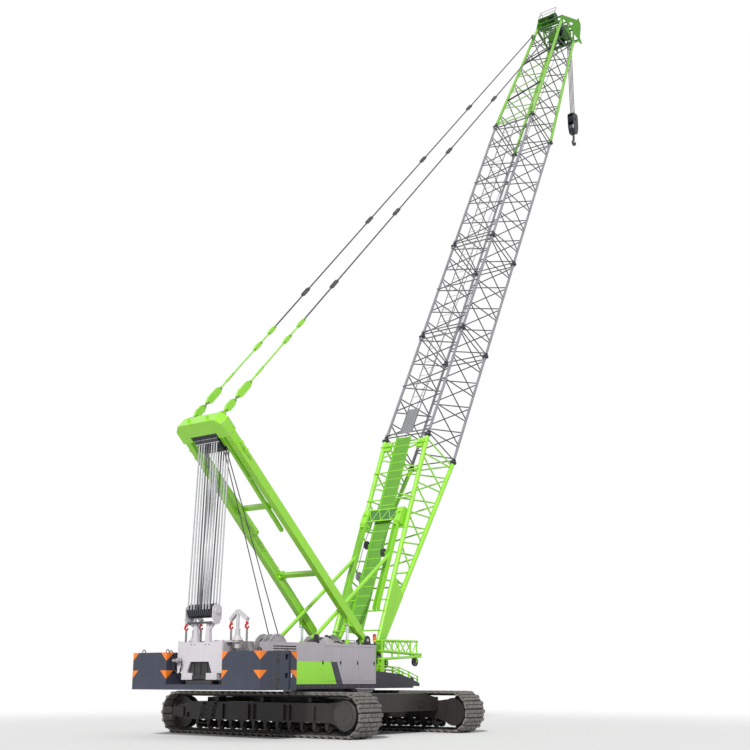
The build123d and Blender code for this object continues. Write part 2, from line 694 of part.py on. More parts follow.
def build_counterweight():
    front = weight_rear + weight_depth
    tray = box(weight_rear, front, -weight_half, weight_half, weight_bottom,
               weight_bottom + tray_thickness - seat_gap)
    for side in (-1, 1):
        tray -= box(groove_x, groove_x + 90, side * weight_half - side * 40, side * weight_half + side * 10,
                    weight_bottom - 1, weight_bottom + tray_thickness)
    nodes["counterweight_tray"] = tray
    base = weight_bottom + tray_thickness
    for name, side in (("left", 1), ("right", -1)):
        layers = [weight_block(side, low, high)
                  for low, high in ((base, layer_joint), (layer_joint + seat_gap, weight_top))]
        nodes["counterweight_" + name] = Compound(children=layers)
        arm = [tube((jack_x, side * jack_y, tail_top), (jack_x, side * jack_y, arm_peak - 70), rod_radius)]
        ends = ((arm_inner, arm_low), (jack_y, arm_peak), (arm_outer, arm_low))
        for (y0, z0), (y1, z1) in zip(ends, ends[1:]):
            arm.append(beam((jack_x, side * y0, z0), (jack_x, side * y1, z1), 120, 110))
        arm.append(disc(jack_x, arm_peak - 15, side * (jack_y - 70), side * (jack_y + 70), 62))
        pieces = [union(arm)]
        for y, chain_end in ((arm_inner + tackle_inset, chain_stay + 5),
                             (arm_outer - tackle_inset, weight_top + 45)):
            pieces += jack_tackle(side * y, chain_end)
        nodes["jack_" + name] = Compound(children=pieces)


# ---------------------------------------------------------------- boom
tilt = radians(boom_angle)
boom_start = Location((boom_foot_x, 0, boom_foot_z)) * Rotation(0, -boom_angle, 0)
tip_start = base_length + sum(insert_lengths)
tip_end = tip_start + tip_length


def boom_point(along, y, rearward):
    """World coordinates of a point on the raised boom."""
    return (boom_foot_x + along * cos(tilt) - rearward * sin(tilt), y,
            boom_foot_z + along * sin(tilt) + rearward * cos(tilt))


def raised(pieces):
    """The pieces, drawn lying along +X, turned up to the boom's place."""
    return Compound(children=[boom_start * piece for piece in pieces])


def even_y(along):
    return chord_y


def even_n(along):
    return chord_n


def base_half_n(along):
    return foot_half_n + (chord_n - foot_half_n) * along / base_length


base_rise = base_tubes[0] / cos(atan2(chord_n - foot_half_n, base_length)) + seat_gap


def tip_half_y(along):
    return chord_y + (tip_y - chord_y) * (along - tip_start) / tip_length


def tip_half_n(along):
    return chord_n + (tip_n - chord_n) * (along - tip_start) / tip_length


def brace(start, end, radius, chord):
    """A round brace between two chords, cut square just clear of each of them."""
    start, end = Vector(*start), Vector(*end)
    run = (end - start).normalized()
    lean = abs(run.X)
    inset = (chord + seat_gap + radius * lean) / (1 - lean * lean) ** 0.5
    return tube(start + run * inset, end - run * inset, radius)


def chord(first, last, side_y, side_n, half_y, half_n, radius, tongue, fork):
    """A chord's tube; a tongue at its lower end and a fork at its upper end take the joints' pins."""
    low = first + (lug_reach if tongue else seat_gap)
    high = last - (lug_reach if fork else end_room)
    bar = tube((low, side_y * half_y(low), side_n * half_n(low)),
               (high, side_y * half_y(high), side_n * half_n(high)),
               radius)
    places = []
    if tongue:
        places.append((first, low + 80, [0.0], tongue_plate))
    if fork:
        offset = (tongue_plate + lug_plate) / 2 + seat_gap
        places.append((last, high - 80, [-offset, offset], lug_plate))
    for pin, root, offsets, thickness in places:
        n = side_n * half_n(pin)
        for offset in offsets:
            y = side_y * half_y(pin) + offset
            bar += slab_xz([(pin, n - lug_radius), (root, n - lug_radius * 0.8), (root, n + lug_radius * 0.8),
                            (pin, n + lug_radius)], y - thickness / 2, y + thickness / 2)
            bar += disc(pin, n, y - thickness / 2, y + thickness / 2, lug_radius)
        y = side_y * half_y(pin)
        bar -= disc(pin, n, y - 150, y + 150, joint_pin + seat_gap)
    return bar


def joint_pins(along, half_y, half_n):
    """The four pins of a joint between two sections."""
    reach = tongue_plate / 2 + lug_plate + 25
    return [disc(along, side_n * half_n(along), side_y * half_y(along) - reach,
                 side_y * half_y(along) + reach,
                 joint_pin) for side_y in (-1, 1) for side_n in (-1, 1)]


def lacing(low_end, high_end, bays, half_y, half_n, tubes, rear_start=0.0):
    """Square end frames and a zigzag of braces on the four sides between them.

    At each station every chord takes one brace from each side in turn, so that no two meet.
    The rear side stays open below rear_start."""
    chord_radius, radius = tubes
    pieces = []
    for along in (low_end, high_end):
        for side in (-1, 1):
            y, n = half_y(along), half_n(along)
            if side < 0 or along > rear_start:
                pieces.append(brace((along, -y, side * n), (along, y, side * n), radius, chord_radius))
            pieces.append(brace((along, side * y, -n), (along, side * y, n), radius, chord_radius))
    low_end, high_end = low_end + 2 * radius, high_end - 2 * radius
    bay = (high_end - low_end) / bays
    apart = radius * 1.45
    for index in range(bays):
        low, high = low_end + index * bay + apart, low_end + (index + 1) * bay - apart
        swap = -1 if index % 2 else 1
        for side in (-1, 1):
            if side < 0 or low > rear_start:
                pieces.append(brace((low, side * swap * half_y(low), side * half_n(low)),
                                    (high, -side * swap * half_y(high),
                                     side * half_n(high)), radius, chord_radius))
            pieces.append(brace((low, side * half_y(low), -side * swap * half_n(low)),
                                (high, side * half_y(high),
                                 side * swap * half_n(high)), radius, chord_radius))
    return pieces


def section(first, last, bays, half_y, half_n, tubes, fork):
    """One section of the boom above its base."""
    pieces = [chord(first, last, side_y, side_n, half_y, half_n, tubes[0], True, fork)
              for side_y in (-1, 1) for side_n in (-1, 1)]
    margin = lug_reach + 2 * tubes[1]
    high = last - (margin if fork else 80)
    braces = lacing(first + margin, high, bays, half_y, half_n, tubes)
    return pieces + braces + joint_pins(first, half_y, half_n)


def foot_web(side):
    """The foot's boss, the root of both chords and the plate between them, with a slanted upper edge."""
    y = side * chord_y
    half, radius = foot_width / 2, base_tubes[0]
    root = base_half_n(root_end) + radius
    foot = slab_xz([(0, -foot_radius), (root_end, -root), (root_end, root), (0, foot_radius)], y - half,
                   y + half)
    foot += disc(0, 0, y - half - 15, y + half + 15, foot_radius)
    edge = radius + seat_gap
    plate = slab_xz([(root_end - 10, -root_plate(root_end, edge)), (web_front, -root_plate(web_front, edge)),
                     (web_rear, root_plate(web_rear, edge)), (root_end - 10, root_plate(root_end, edge))],
                    y - web_plate / 2, y + web_plate / 2)
    return foot + plate - disc(0, 0, y - foot_width, y + foot_width, foot_pin_radius + seat_gap)


def root_plate(along, edge):
    """Half height of the foot's web, which ends just inside the chords."""
    return max(base_half_n(along) - edge, 5.0)


def backstop_rail(side):
    """Two plates between which a backstop's end runs, and the box bracket they butt against.

    They stay separate pieces, so the room between the plates is kept free."""
    half = rail_depth / 2

    def middle(along):
        return 310.0 + 0.105 * along

    outline = [(rail_low, walk_height(rail_low)), (rail_low + 90, walk_height(rail_low + 90)),
               (rail_low + 260, middle(rail_low + 260) - half), (rail_high, middle(rail_high) - half),
               (rail_high, middle(rail_high) + half), (rail_low, middle(rail_low) + half)]
    pieces = [slab_xz(outline, side * y - rail_plate / 2, side * y + rail_plate / 2)
              for y in (rail_inner - rail_plate / 2, rail_outer + rail_plate / 2)]
    pieces.append(box(rail_high - 90, rail_high - 20, side * (rail_inner + seat_gap),
                      side * (rail_outer - seat_gap), middle(rail_high) - 60, middle(rail_high) + 60))
    inner, outer = rail_inner - rail_plate, chord_y - base_tubes[0] - seat_gap
    foot = rail_high + seat_gap
    low_n = base_half_n(rail_high) - 60
    bracket = slab_xz([(foot, low_n), (bracket_top, low_n + 60), (bracket_top, 900), (bracket_top - 90, 960),
                       (foot + 60, 960), (foot, 900)], side * (inner - 15), side * outer)
    bracket -= box(foot + 30, bracket_top - 60, side * (inner + 15), side * (outer - 20), 0, 880)
    hole = Vector(bracket_top - 330, side * (inner + outer) / 2, 900)
    return pieces + [bracket - tube(hole, hole + Vector(0, 0, 100), 75)]


def shoulder(side):
    """A plate with a deep recess inside a rear chord at the top of the base."""
    outer = chord_y - base_tubes[0] - seat_gap
    high = base_length - 2 * lug_reach
    n = base_half_n(high) + 40
    plate = box(shoulder_low, high, side * (outer - 330), side * outer, n - 120, n)
    plate -= tube((high - 150, side * (outer - 130), n - 60), (high - 150, side * (outer - 130), n + 10), 60)
    plate -= box(shoulder_low + 120, high - 280, side * (outer - 250), side * (outer - 80), n - 60, n + 10)
    return plate


def bracket_tie():
    """The trussed plate between the two box brackets."""
    reach = rail_inner - rail_plate - 15 - seat_gap
    low, high, n = rail_high + 160, bracket_top - 60, 900
    pieces = [box(low, high, -reach, reach, n - 12, n)]
    for along in (low, high):
        pieces.append(tube((along, -reach, n + 10), (along, reach, n + 10), 30))
    step = 2 * reach / 6
    for index in range(6):
        y = -reach + index * step
        start, end = (low, high) if index % 2 else (high, low)
        pieces.append(tube((start, y, n + 10), (end, y + step, n + 10), 15))
    return union(pieces)


def saddle_bar(along):
    """A square bar across the rear chords, under the walkway."""
    low, high = along - saddle / 2, along + saddle / 2
    reach = chord_y + 60
    return slab_xz([(low, base_half_n(low) + base_rise), (high, base_half_n(high) + base_rise),
                    (high, base_half_n(high) + base_rise + saddle), (low,
                                                                     base_half_n(low) + base_rise + saddle)],
                   -reach, reach)


def guide_sheave(along, y):
    """A grooved wheel on a short shaft, held by a plate that stands on the walkway's edge."""
    n = walk_height(along) + 60
    inner = walk_half if y > 0 else -walk_half
    way = 1 if y > 0 else -1
    wheel = disc(along, n, y - way * 38, y + way * 38, guide_radius)
    wheel -= disc(along, n, y - way * 40, y - way * 26, guide_radius - 45)
    wheel -= disc(along, n, y + way * 26, y + way * 40, guide_radius - 45)
    return union([wheel, disc(along, n, inner + way * (10 + seat_gap), y + way * 60, 32)])


def walk_height(along):
    """Height of the walkway's underside over the boom's centre line, on the base."""
    return base_half_n(along) + base_rise + saddle + seat_gap


def build_walkway():
    """A footway on the rear side: perforated plate between two angles, then open rungs up the inserts."""
    thick, angle = 8.0, 55.0
    high = base_length - 60
    pieces = []
    plate = slab_xz([(walk_low, walk_height(walk_low)), (high, walk_height(high)),
                     (high, walk_height(high) + thick),
                     (walk_low, walk_height(walk_low) + thick)], -walk_half, walk_half)
    for side in (-1, 1):
        plate += slab_xz([(walk_low, walk_height(walk_low)), (high, walk_height(high)),
                          (high, walk_height(high) + angle), (walk_low, walk_height(walk_low) + angle)],
                         side * walk_half, side * (walk_half + 10))
    pieces.append(plate)
    start = base_length
    low = chord_n + insert_tubes[0] + seat_gap
    for length in insert_lengths:
        rails = []
        first, last = start + 180, start + length - 180
        for side in (-1, 1):
            rails.append(box(first, last, side * walk_insert_half, side * (walk_insert_half + 10),
                             low + saddle, low + saddle + angle))
        count = round((last - first) / walk_rung_pitch)
        for index in range(count + 1):
            along = first + 20 + (last - first - 40) * index / count
            rails.append(box(along - 8, along + 8, -walk_insert_half, walk_insert_half, low + saddle,
                             low + saddle + 12))
        for along in (first + 60, (first + last) / 2, last - 60):
            rails.append(box(along - saddle / 2, along + saddle / 2, -chord_y - 40, chord_y + 40, low,
                             low + saddle + 5))
        if start == base_length:
            rails.append(box(first, first + 1300, -walk_insert_half, walk_insert_half, low + saddle + 12,
                             low + saddle + 18))
        pieces.append(union(rails))
        start += length
    nodes["walkway"] = raised(pieces)


def build_boom():
    pieces = []
    for side_y in (-1, 1):
        pieces += [foot_web(side_y), shoulder(side_y), *backstop_rail(side_y)]
        for side_n in (-1, 1):
            pieces.append(chord(root_end, base_length, side_y, side_n, even_y, base_half_n, base_tubes[0],
                                False, True))
    pieces += lacing(web_rear + 60, base_length - lug_reach - 2 * base_tubes[1], base_brace_count, even_y,
                     base_half_n, base_tubes, bracket_top)
    pieces += [saddle_bar(along) for along in saddle_stations] + [bracket_tie()]
    pieces += [guide_sheave(along, y) for along, y in guide_sheaves]
    nodes["boom_base"] = raised(pieces)
    start = base_length
    for index, (length, count) in enumerate(zip(insert_lengths, insert_brace_count), 1):
        nodes["boom_insert_%d" % index] = raised(section(start, start + length, count, even_y, even_n,
                                                         insert_tubes, True))
        start += length
    pieces = section(tip_start, tip_end, tip_brace_count, tip_half_y, tip_half_n, tip_tubes, False)
    anchor = tip_end - pendant_inset
    for side in (-1, 1):
        for edge in (-1, 1):
            y = side * pendant_y + edge * 45
            low = tip_half_n(anchor) + tip_tubes[0] + seat_gap
            plate = slab_xz([(anchor - 250, low), (anchor + 250, low), (anchor + 80, pendant_n),
                             (anchor - 80, pendant_n)], y - 12, y + 12)
            pieces.append(plate + disc(anchor, pendant_n, y - 12, y + 12, 80))
    nodes["boom_tip"] = raised(pieces)
    build_boom_head()
    build_walkway()


def head_side(y):
    """An outer side of the head: a plate to the nose with triangular openings between its members."""
    x = tip_end + seat_gap
    outline = [(x, -tip_n - 85), (x + 730, -1250), (x + 1650, -1020), (x + head_nose[0], -880),
               (x + head_nose[0], head_nose[1]), (x + head_peak[0], head_peak[1]), (x, tip_n + 85)]
    plate = slab_xz(outline, y, y + head_plate)
    shaft = (x + head_shaft, head_shaft_n)
    openings = [[(x + 110, 560), (x + 110, -60), (x + 560, 300), (x + 400, 720)],
                [(x + 110, -230), (x + 110, -680), (x + 640, -420), (x + 640, 170)],
                [(x + 760, 150), (x + 760, -300), (x + 1230, -250)],
                [(x + 160, -830), (x + 640, -580), (x + 760, -1110)]]
    for corners in openings:
        plate -= slab_xz(corners, y - 10, y + head_plate + 10)
    return plate + disc(*shaft, y - 12, y + head_plate + 12, 150)


def build_boom_head():
    x = tip_end + seat_gap
    head = [head_side(-tip_y - head_plate / 2), head_side(tip_y - head_plate / 2)]
    inner = 2.5 * rope_pitch
    for side in (-1, 1):
        cheek = [(x + 300, -300), (x + 900, -260), (x + 1450, -480), (x + 1560, -700), (x + 1450, -980),
                 (x + 1150, -1080), (x + 300, -700)]
        head.append(slab_xz(cheek, side * inner, side * (inner + 28)))
    for along, n, radius in ((80, tip_n, 60), (80, -tip_n, 60), (head_peak[0] - 40, head_peak[1] - 70, 50),
                             (head_nose[0] - 90, head_nose[1] - 120, 55), (760, -1150, 50), (320, -640, 45),
                             (320, -360, 45), (head_shaft, head_shaft_n, 55), (650, 250, 40)):
        head.append(disc(x + along, n, -tip_y, tip_y, radius))
    for index in range(4):
        y = (index - 1.5) * rope_pitch
        head.append(disc(x + head_shaft, head_shaft_n, y - 30, y + 30, head_sheave))
        head.append(disc(x + 320, -640, y - 30, y + 30, 190))
    for side in (-1, 1):
        along = x + 80 + 38 * side
        head.append(tube((along, -side * tip_y, -tip_n), (along, side * tip_y, tip_n), 32))
    nose = slab_xz([(x + head_nose[0] - 120, head_nose[1] - 40), (x + head_nose[0], head_nose[1] - 60),
                    (x + head_nose[0] + 110, head_nose[1] + 40), (x + head_nose[0] + 60, head_nose[1] + 110),
                    (x + head_nose[0] - 120, head_nose[1] + 60)], -tip_y - 30, -tip_y + 30)
    tail = slab_xz([(x + 700, -1240), (x + 760, -1470), (x + 860, -1480), (x + 1000, -1190)], -tip_y - 20,
                   -tip_y + 20)
    head += [nose, tail, mirrored(nose), mirrored(tail)]
    nodes["boom_head"] = boom_start * (union(head) + union(head_platform(x)))


def head_platform(x):
    """A grated landing behind the peak, its handrail and a small box."""
    along, low, high = x + platform_along, 300.0, 980.0
    y0, y1 = -280.0, tip_y + head_plate / 2
    pieces = [box(along, along + 14, y0, y1, low, high)]
    for y in (y0, (y0 + y1) / 2, y1 - 14):
        pieces.append(slab_xz([(x + 300, 640), (x + 430, 880), (along + 5, high), (along + 5, low),
                               (x + 650, 250)],
                              y, y + 14))
    rail = 14
    posts = [(y1 - rail, high - rail), (y0 + rail, high - rail), (y1 - rail, low + 200)]
    for y, n in posts:
        pieces.append(tube((along, y, n), (along + 640, y, n), rail))
    for height in (320, 640):
        pieces.append(tube((along + height, posts[0][0], posts[0][1]),
                           (along + height, posts[1][0], posts[1][1]), rail))
        pieces.append(tube((along + height, posts[0][0], posts[0][1]),
                           (along + height, posts[2][0], posts[2][1]), rail))
    pieces.append(box(along + 10, along + 380, -190, 150, low + 180, high - 160))
    return pieces


# ---------------------------------------------------------------- mast
mast_start = Location((mast_foot_x, 0, mast_foot_z)) * Rotation(0, -mast_angle, 0)
head_low, head_high = mast_length - mast_head_back, mast_length + mast_head_front


def leg_y(along):
    """Distance of a leg's centre from the middle of the mast."""
    share = (along - 500) / (head_low + 50 - 500)
    return girder_y + (mast_head_y - girder_y) * share


def mast_leg(side):
    """A box leg with its forked root, the bore of its foot pin and two pegs near its head."""
    y = side * girder_y
    root = slab_xz([(0, -100), (350, -100), (560, -leg_depth / 2), (560, leg_depth / 2), (350, 100),
                    (0, 100)],
                   y - 100, y + 100)
    leg = beam((500, y, 0), (head_low + 50, side * mast_head_y, 0), leg_width, leg_depth)
    pieces = [root, leg & box(450, head_low - seat_gap, -2000, 2000, -500, 500),
              disc(0, 0, y - 120, y + 120, 150)]
    for along in mast_pegs:
        face = leg_y(along) + leg_width / 2 - 10
        pieces.append(tube((along, side * face, 0), (along, side * (face + 150), 0), 28))
        pieces.append(tube((along, side * (face + 150), 0), (along, side * (face + 190), 0), 48))
    return union(pieces) - disc(0, 0, y - 200, y + 200, foot_pin_radius + seat_gap)


def mast_bar(along):
    """A cross bar between the legs, with a wide flange and two gussets at each end."""
    reach = leg_y(along + 150) - leg_width / 2 - seat_gap
    pieces = [box(along - 85, along + 85, -reach, reach, -150, -10)]
    for side in (-1, 1):
        pieces.append(box(along - 150, along + 150, side * (reach - 190), side * reach, -158, -2))
        pieces.append(slab_yz([(side * (reach - 420), -140), (side * reach, -140), (side * reach, 60)],
                              along - 20, along + 20))
    return union(pieces)


def rod_brackets():
    """The two plates under each leg that carry a cylinder rod's eye."""
    lean = radians(mast_angle)
    eye_x, eye_z = mast_eye_x - mast_foot_x, mast_eye_z - mast_foot_z
    along, under = eye_x * cos(lean) + eye_z * sin(lean), eye_z * cos(lean) - eye_x * sin(lean)
    face = leg_depth / 2
    pieces = []
    for side in (-1, 1):
        for edge in (-1, 1):
            y0, y1 = side * girder_y + edge * 60, side * girder_y + edge * 85
            plate = slab_xz([(along - 250, face), (along + 250, face), (along + 70, under),
                             (along - 70, under)], y0, y1)
            pieces.append(plate + disc(along, under, y0, y1, 70))
    return pieces


def build_mast():
    """Drawn along +X with its underside towards +Z, then raised about its foot pins."""
    pieces = [mast_leg(-1), mast_leg(1)] + [mast_bar(along) for along in mast_bars] + rod_brackets()
    nodes["mast_legs"] = Compound(children=[mast_start * piece for piece in pieces])
    nodes["mast_head"] = Compound(children=[mast_start * piece for piece in mast_head()])
    foot, top = arm_y
    arms = []
    for side in (-1, 1):
        bar = beam((arm_foot, side * foot, 60), (head_low + 50, side * top, 60), 110, 130)
        bar &= box(arm_foot - 100, head_low - seat_gap, -2000, 2000, -500, 500)
        bar += disc(arm_foot, 60, side * (foot - 30), side * (foot + 30), 85)
        bar -= disc(arm_foot, 60, side * (foot - 60), side * (foot + 60), 38)
        reach = leg_y(arm_bracket + 100) - leg_width / 2 - seat_gap
        bar += box(arm_bracket - 60, arm_bracket + 60, side * (foot + 40), side * reach, 10, 110)
        bar += box(arm_bracket - 100, arm_bracket + 100, side * (reach - 30), side * reach, -40, 150)
        arms.append(bar)
    nodes["mast_arm"] = mast_start * Compound(children=arms)


def mast_head():
    """The box across the legs with cut corners, the sheaves on their shaft, side pegs and pendant lugs."""
    half = mast_head_y + leg_width / 2 + 10
    corner = 230.0
    outline = [(head_low, -half), (head_high - corner, -half), (head_high, -half + corner),
               (head_high, half - corner), (head_high - corner, half), (head_low, half)]
    outline_face = make_face(Polyline(*outline, close=True))
    block = extrude(Plane(origin=(0, 0, -leg_depth / 2 - 60)) * outline_face, leg_depth + 130)
    block -= box(head_low - 10, head_low + 210, -640, 640, -leg_depth, leg_depth)
    head, lugs = [block], []
    shaft = head_low - mast_sheave_back
    for side in (-1, 1):
        cheek = slab_xz([(head_low + 230, -180), (shaft - 60, -150), (shaft - 160, 0), (shaft - 60, 150),
                         (head_low + 230, 180)], side * 560, side * 590)
        head += [cheek, disc(shaft, 0, side * 540, side * 605, 90)]
        for edge in (-1, 1):
            y0, y1 = side * pendant_y + edge * 45, side * pendant_y + edge * 70
            top = -leg_depth / 2 - 60 - seat_gap
            lugs.append(slab_xz([(head_high - 380, top), (head_high - 10, top),
                                 (head_high - 110, pendant_foot_n - 60),
                                 (head_high - 250, pendant_foot_n - 60)], y0, y1))
    head.append(disc(shaft, 0, -560, 560, 60))
    pitch = 1040.0 / mast_sheave_count
    for index in range(mast_sheave_count):
        y = -520 + (index + 0.5) * pitch
        head.append(disc(shaft, 0, y - pitch * 0.32, y + pitch * 0.32, mast_sheave))
        head.append(disc(shaft, 0, y - pitch / 2, y + pitch / 2, mast_sheave - 80))
    head.append(box(head_low - 100, head_low + 30, -560, 560, 235, 250))
    for y in (-420, -140, 140, 420):
        head.append(box(head_low - 90, head_low + 20, y - 8, y + 8, 100, 240))
    return [union(head)] + lugs


# ---------------------------------------------------------------- cylinders, backstops, pendants
def build_links():
    rise = atan2(mast_eye_z - cylinder_foot_z, mast_eye_x - cylinder_foot_x)
    reach = hypot(mast_eye_z - cylinder_foot_z, mast_eye_x - cylinder_foot_x)
    rod_low = reach - eye_pin_radius - rod_length
    for name, side in (("left", 1), ("right", -1)):
        y = side * girder_y

        def on_cylinder(along):
            return cylinder_foot_x + along * cos(rise), y, cylinder_foot_z + along * sin(rise)

        eye = disc(cylinder_foot_x, cylinder_foot_z, y - 60, y + 60, 85)
        barrel = tube(on_cylinder(0), on_cylinder(barrel_length), barrel_radius) + eye
        barrel += tube(on_cylinder(barrel_collar), on_cylinder(barrel_collar + 90), barrel_radius + 10)
        barrel -= disc(cylinder_foot_x, cylinder_foot_z, y - 100, y + 100, eye_pin_radius + seat_gap)
        barrel -= tube(on_cylinder(120), on_cylinder(barrel_length + 10), rod_radius + seat_gap)
        nodes["mast_cylinder_" + name] = barrel
        rod = tube(on_cylinder(rod_low), on_cylinder(reach - eye_pin_radius), rod_radius)
        eye = disc(mast_eye_x, mast_eye_z, y - 40, y + 40, 65) - disc(mast_eye_x, mast_eye_z, y - 60,
                                                                      y + 60, 32)
        nodes["mast_rod_" + name] = rod + eye
        y = side * backstop_y
        top = boom_point(backstop_reach, y, backstop_n)
        foot = Vector(backstop_x, y, backstop_z)
        run = Vector(*top) - foot
        stop = tube(foot, top, backstop_radius) + disc(backstop_x, backstop_z, y - 70, y + 70, 95)
        for share in (0.62, 0.97):
            place = foot + run * share
            stop += tube(place, place + run.normalized() * 60, backstop_radius + 10)
        stop -= disc(backstop_x, backstop_z, y - 100, y + 100, eye_pin_radius + seat_gap)
        nodes["backstop_" + name] = stop


def build_pendants():
    """Each pendant is one straight strand of bars from an eye on the boom's tip to the mast's head."""
    for name, side in (("left", 1), ("right", -1)):
        y = side * pendant_y
        low = Vector(*(mast_start * Pos(head_high - 180, y, pendant_foot_n)).position)
        high = Vector(*boom_point(tip_end - pendant_inset, y, pendant_n))
        run = (high - low).normalized()
        low = low + run * pendant_foot_gap
        strand = tube(low, high, pendant_radius)
        strand += disc(high.X, high.Z, y - 33 + seat_gap, y + 33 - seat_gap, 75)
        strand += disc(low.X, low.Z, y - 33, y + 33, 62)
        for along in pendant_joints:
            place = low + run * along
            strand += tube(place, place + run * 420, pendant_radius + 14)
        nodes["pendant_" + name] = strand


# ---------------------------------------------------------------- cab, front, winches, hoist
def cab_outline():
    """The cab's side: upright at the rear, raked out at the knee and back again to the roof."""
    return [(cab_rear, cab_floor), (cab_front - 280, cab_floor), (cab_front, cab_floor + 560),
            (cab_front - 150, cab_roof - 60), (cab_front - 260, cab_roof), (cab_rear + 60, cab_roof),
            (cab_rear, cab_roof - 60)]


def build_cab():
    outline = make_face(Polyline(*cab_outline(), close=True))
    hollow = offset(outline, -cab_wall, kind=Kind.INTERSECTION)
    along_y = Plane(origin=(0, cab_outer, 0), x_dir=(1, 0, 0), z_dir=(0, -1, 0))
    shell = extrude(along_y * outline, cab_outer - cab_inner)
    within = extrude(Plane(origin=(0, cab_outer - cab_wall, 0), x_dir=(1, 0, 0), z_dir=(0, -1, 0)) * hollow,
                     cab_outer - cab_inner - 2 * cab_wall)
    shell -= within
    sill, head = cab_floor + 620, cab_roof - 150
    for low, high in ((sill, head), (cab_floor + 130, sill - 90)):
        shell -= box(cab_front - 330, cab_front + 50, cab_inner + 90, cab_outer - 90, low, high)
    for y0, y1 in ((cab_inner - 50, cab_inner + cab_wall + 10), (cab_outer - cab_wall - 10, cab_outer + 50)):
        shell -= slab_xz([(cab_rear + 1020, sill), (cab_front - 90, sill), (cab_front - 225, head),
                          (cab_rear + 1020, head)], y0, y1)
    shell -= box(cab_rear + 120, cab_rear + 880, cab_inner - 50, cab_inner + cab_wall + 10, sill, head)
    shell -= box(cab_rear - 50, cab_rear + cab_wall + 10, cab_inner + 150, cab_outer - 150, sill + 300, head)
    door_low, door_high = cab_floor + 60, cab_roof - 90
    shell -= box(cab_rear + 90, cab_rear + 900, cab_outer - cab_wall - 10, cab_outer + 50, door_low,
                 door_high)
    nodes["cab"] = shell
    door = box(cab_rear + 90 + running_gap, cab_rear + 900 - running_gap, cab_outer - cab_wall, cab_outer,
               door_low + running_gap, door_high - running_gap)
    door -= box(cab_rear + 180, cab_rear + 810, cab_outer - cab_wall - 10, cab_outer + 50, sill, head - 20)
    door -= box(cab_rear + 180, cab_rear + 810, cab_outer - cab_wall - 10, cab_outer + 50, door_low + 140,
                sill - 90)
    hinge_x = cab_rear + 90 + running_gap
    for z in (door_low + 200, door_high - 300):
        door += tube((hinge_x, cab_outer, z), (hinge_x, cab_outer, z + 100), running_gap - seat_gap)
    nodes["cab_door"] = door
    nodes["cab_seat"] = union(operator_seat())


def operator_seat():
    """The seat on its column, its back, two armrests and the levers on them."""
    x, y = cab_rear + 750, (cab_inner + cab_outer) / 2
    floor = cab_floor + cab_wall
    back = slab_xz([(x - 230, floor + 400), (x - 330, floor + 1050), (x - 250, floor + 1180),
                    (x - 190, floor + 1170), (x - 130, floor + 400)], y - 230, y + 230)
    pieces = [box(x - 120, x + 120, y - 120, y + 120, floor + seat_gap, floor + 350),
              box(x - 250, x + 250, y - 250, y + 250, floor + 350, floor + 470), back]
    for side in (-1, 1):
        arm = y + side * 290
        pieces.append(box(x - 200, x + 200, arm - 40, arm + 40, floor + 560, floor + 640))
        pieces.append(box(x - 150, x - 60, arm - 40, y + side * 240, floor + 400, floor + 580))
        pieces.append(tube((x + 150, arm, floor + 630), (x + 170, arm, floor + 790), 14))
        pieces.append(Pos(x + 170, arm, floor + 800) * Sphere(30))
    return pieces


def stowed_truss():
    """The folded strut that lies on the right of the front: two trussed sides and ties between them."""
    y0, y1 = strut_sides
    pieces = []
    for y in strut_sides:
        for low, high in strut_bars:
            pieces.append(tube((low[0], y, low[1]), (high[0], y, high[1]), strut_tube))
        (top_start, _), (top_end, _) = strut_bars[0]
        step = (top_end - top_start) / strut_bay_count
        for index in range(strut_bay_count):
            x = top_start + index * step
            ends = [(x, on_bar(0, x)), (x + step, on_bar(1, x + step))]
            if index % 2:
                ends = [(x, on_bar(1, x)), (x + step, on_bar(0, x + step))]
            pieces.append(tube((ends[0][0], y, ends[0][1]), (ends[1][0], y, ends[1][1]), strut_tube * 0.55))
        for x in (1400, 2400, 3560):
            pieces.append(tube((x, y, on_bar(2, x)), (x, y, on_bar(0, x)), strut_tube * 0.7))
    for bar, places in ((0, (1500, 2500, 3560)), (1, (1400, 2600, 3780)), (2, (1350, 2500, 3780))):
        for x in places:
            pieces.append(tube((x, y0, on_bar(bar, x)), (x, y1, on_bar(bar, x)), strut_tube * 0.7))
    for x, z in strut_sheaves:
        hanger = on_bar(2, x)
        for y in (y0 + 60, y1 - 60):
            pieces.append(box(x - 30, x + 30, y - 10, y + 10, z, hanger))
            pieces.append(box(x - 30, x + 30, min(y, y0), max(y, y0), hanger - 20, hanger + 10))
        pieces.append(disc(x, z, y0 + 50, y1 - 50, 35))
        pieces.append(disc(x, z, (y0 + y1) / 2 - 35, (y0 + y1) / 2 + 35, 175))
    low, high = column
    pieces.append(slab_xz([(low, deck_height(low) + seat_gap), (high, deck_height(high) + seat_gap),
                           (high, on_bar(2, high)), (low, on_bar(2, low))], y0 - 60, y1 + 60))
    return union(pieces)


def on_bar(index, x):
    """Height of one of the folded strut's long bars at x."""
    (x0, z0), (x1, z1) = strut_bars[index]
    return z0 + (z1 - z0) * (x - x0) / (x1 - x0)


def on_deck(x):
    return x, deck_height(x) + seat_gap


def front_rails():
    """Guard rails that follow the slope of the front deck, between square posts."""
    pieces = []
    half = rail_post / 2
    places = [housing_front + 120, *[x for x, _ in deck_slope], deck_front - 60]
    for y in (-half_deck + 60, -housing_inner - 60):
        rail = []
        for height in rail_heights:
            for x0, x1 in zip(places, places[1:]):
                rail.append(tube((x0, y, deck_height(x0) + height), (x1, y, deck_height(x1) + height), 18))
        for x in places:
            top = deck_height(x) + rail_heights[-1] + half
            rail.append(slab_xz([on_deck(x - half), on_deck(x), on_deck(x + half), (x + half, top),
                                 (x - half, top)], y - half, y + half))
        pieces.append(union(rail))
    return pieces


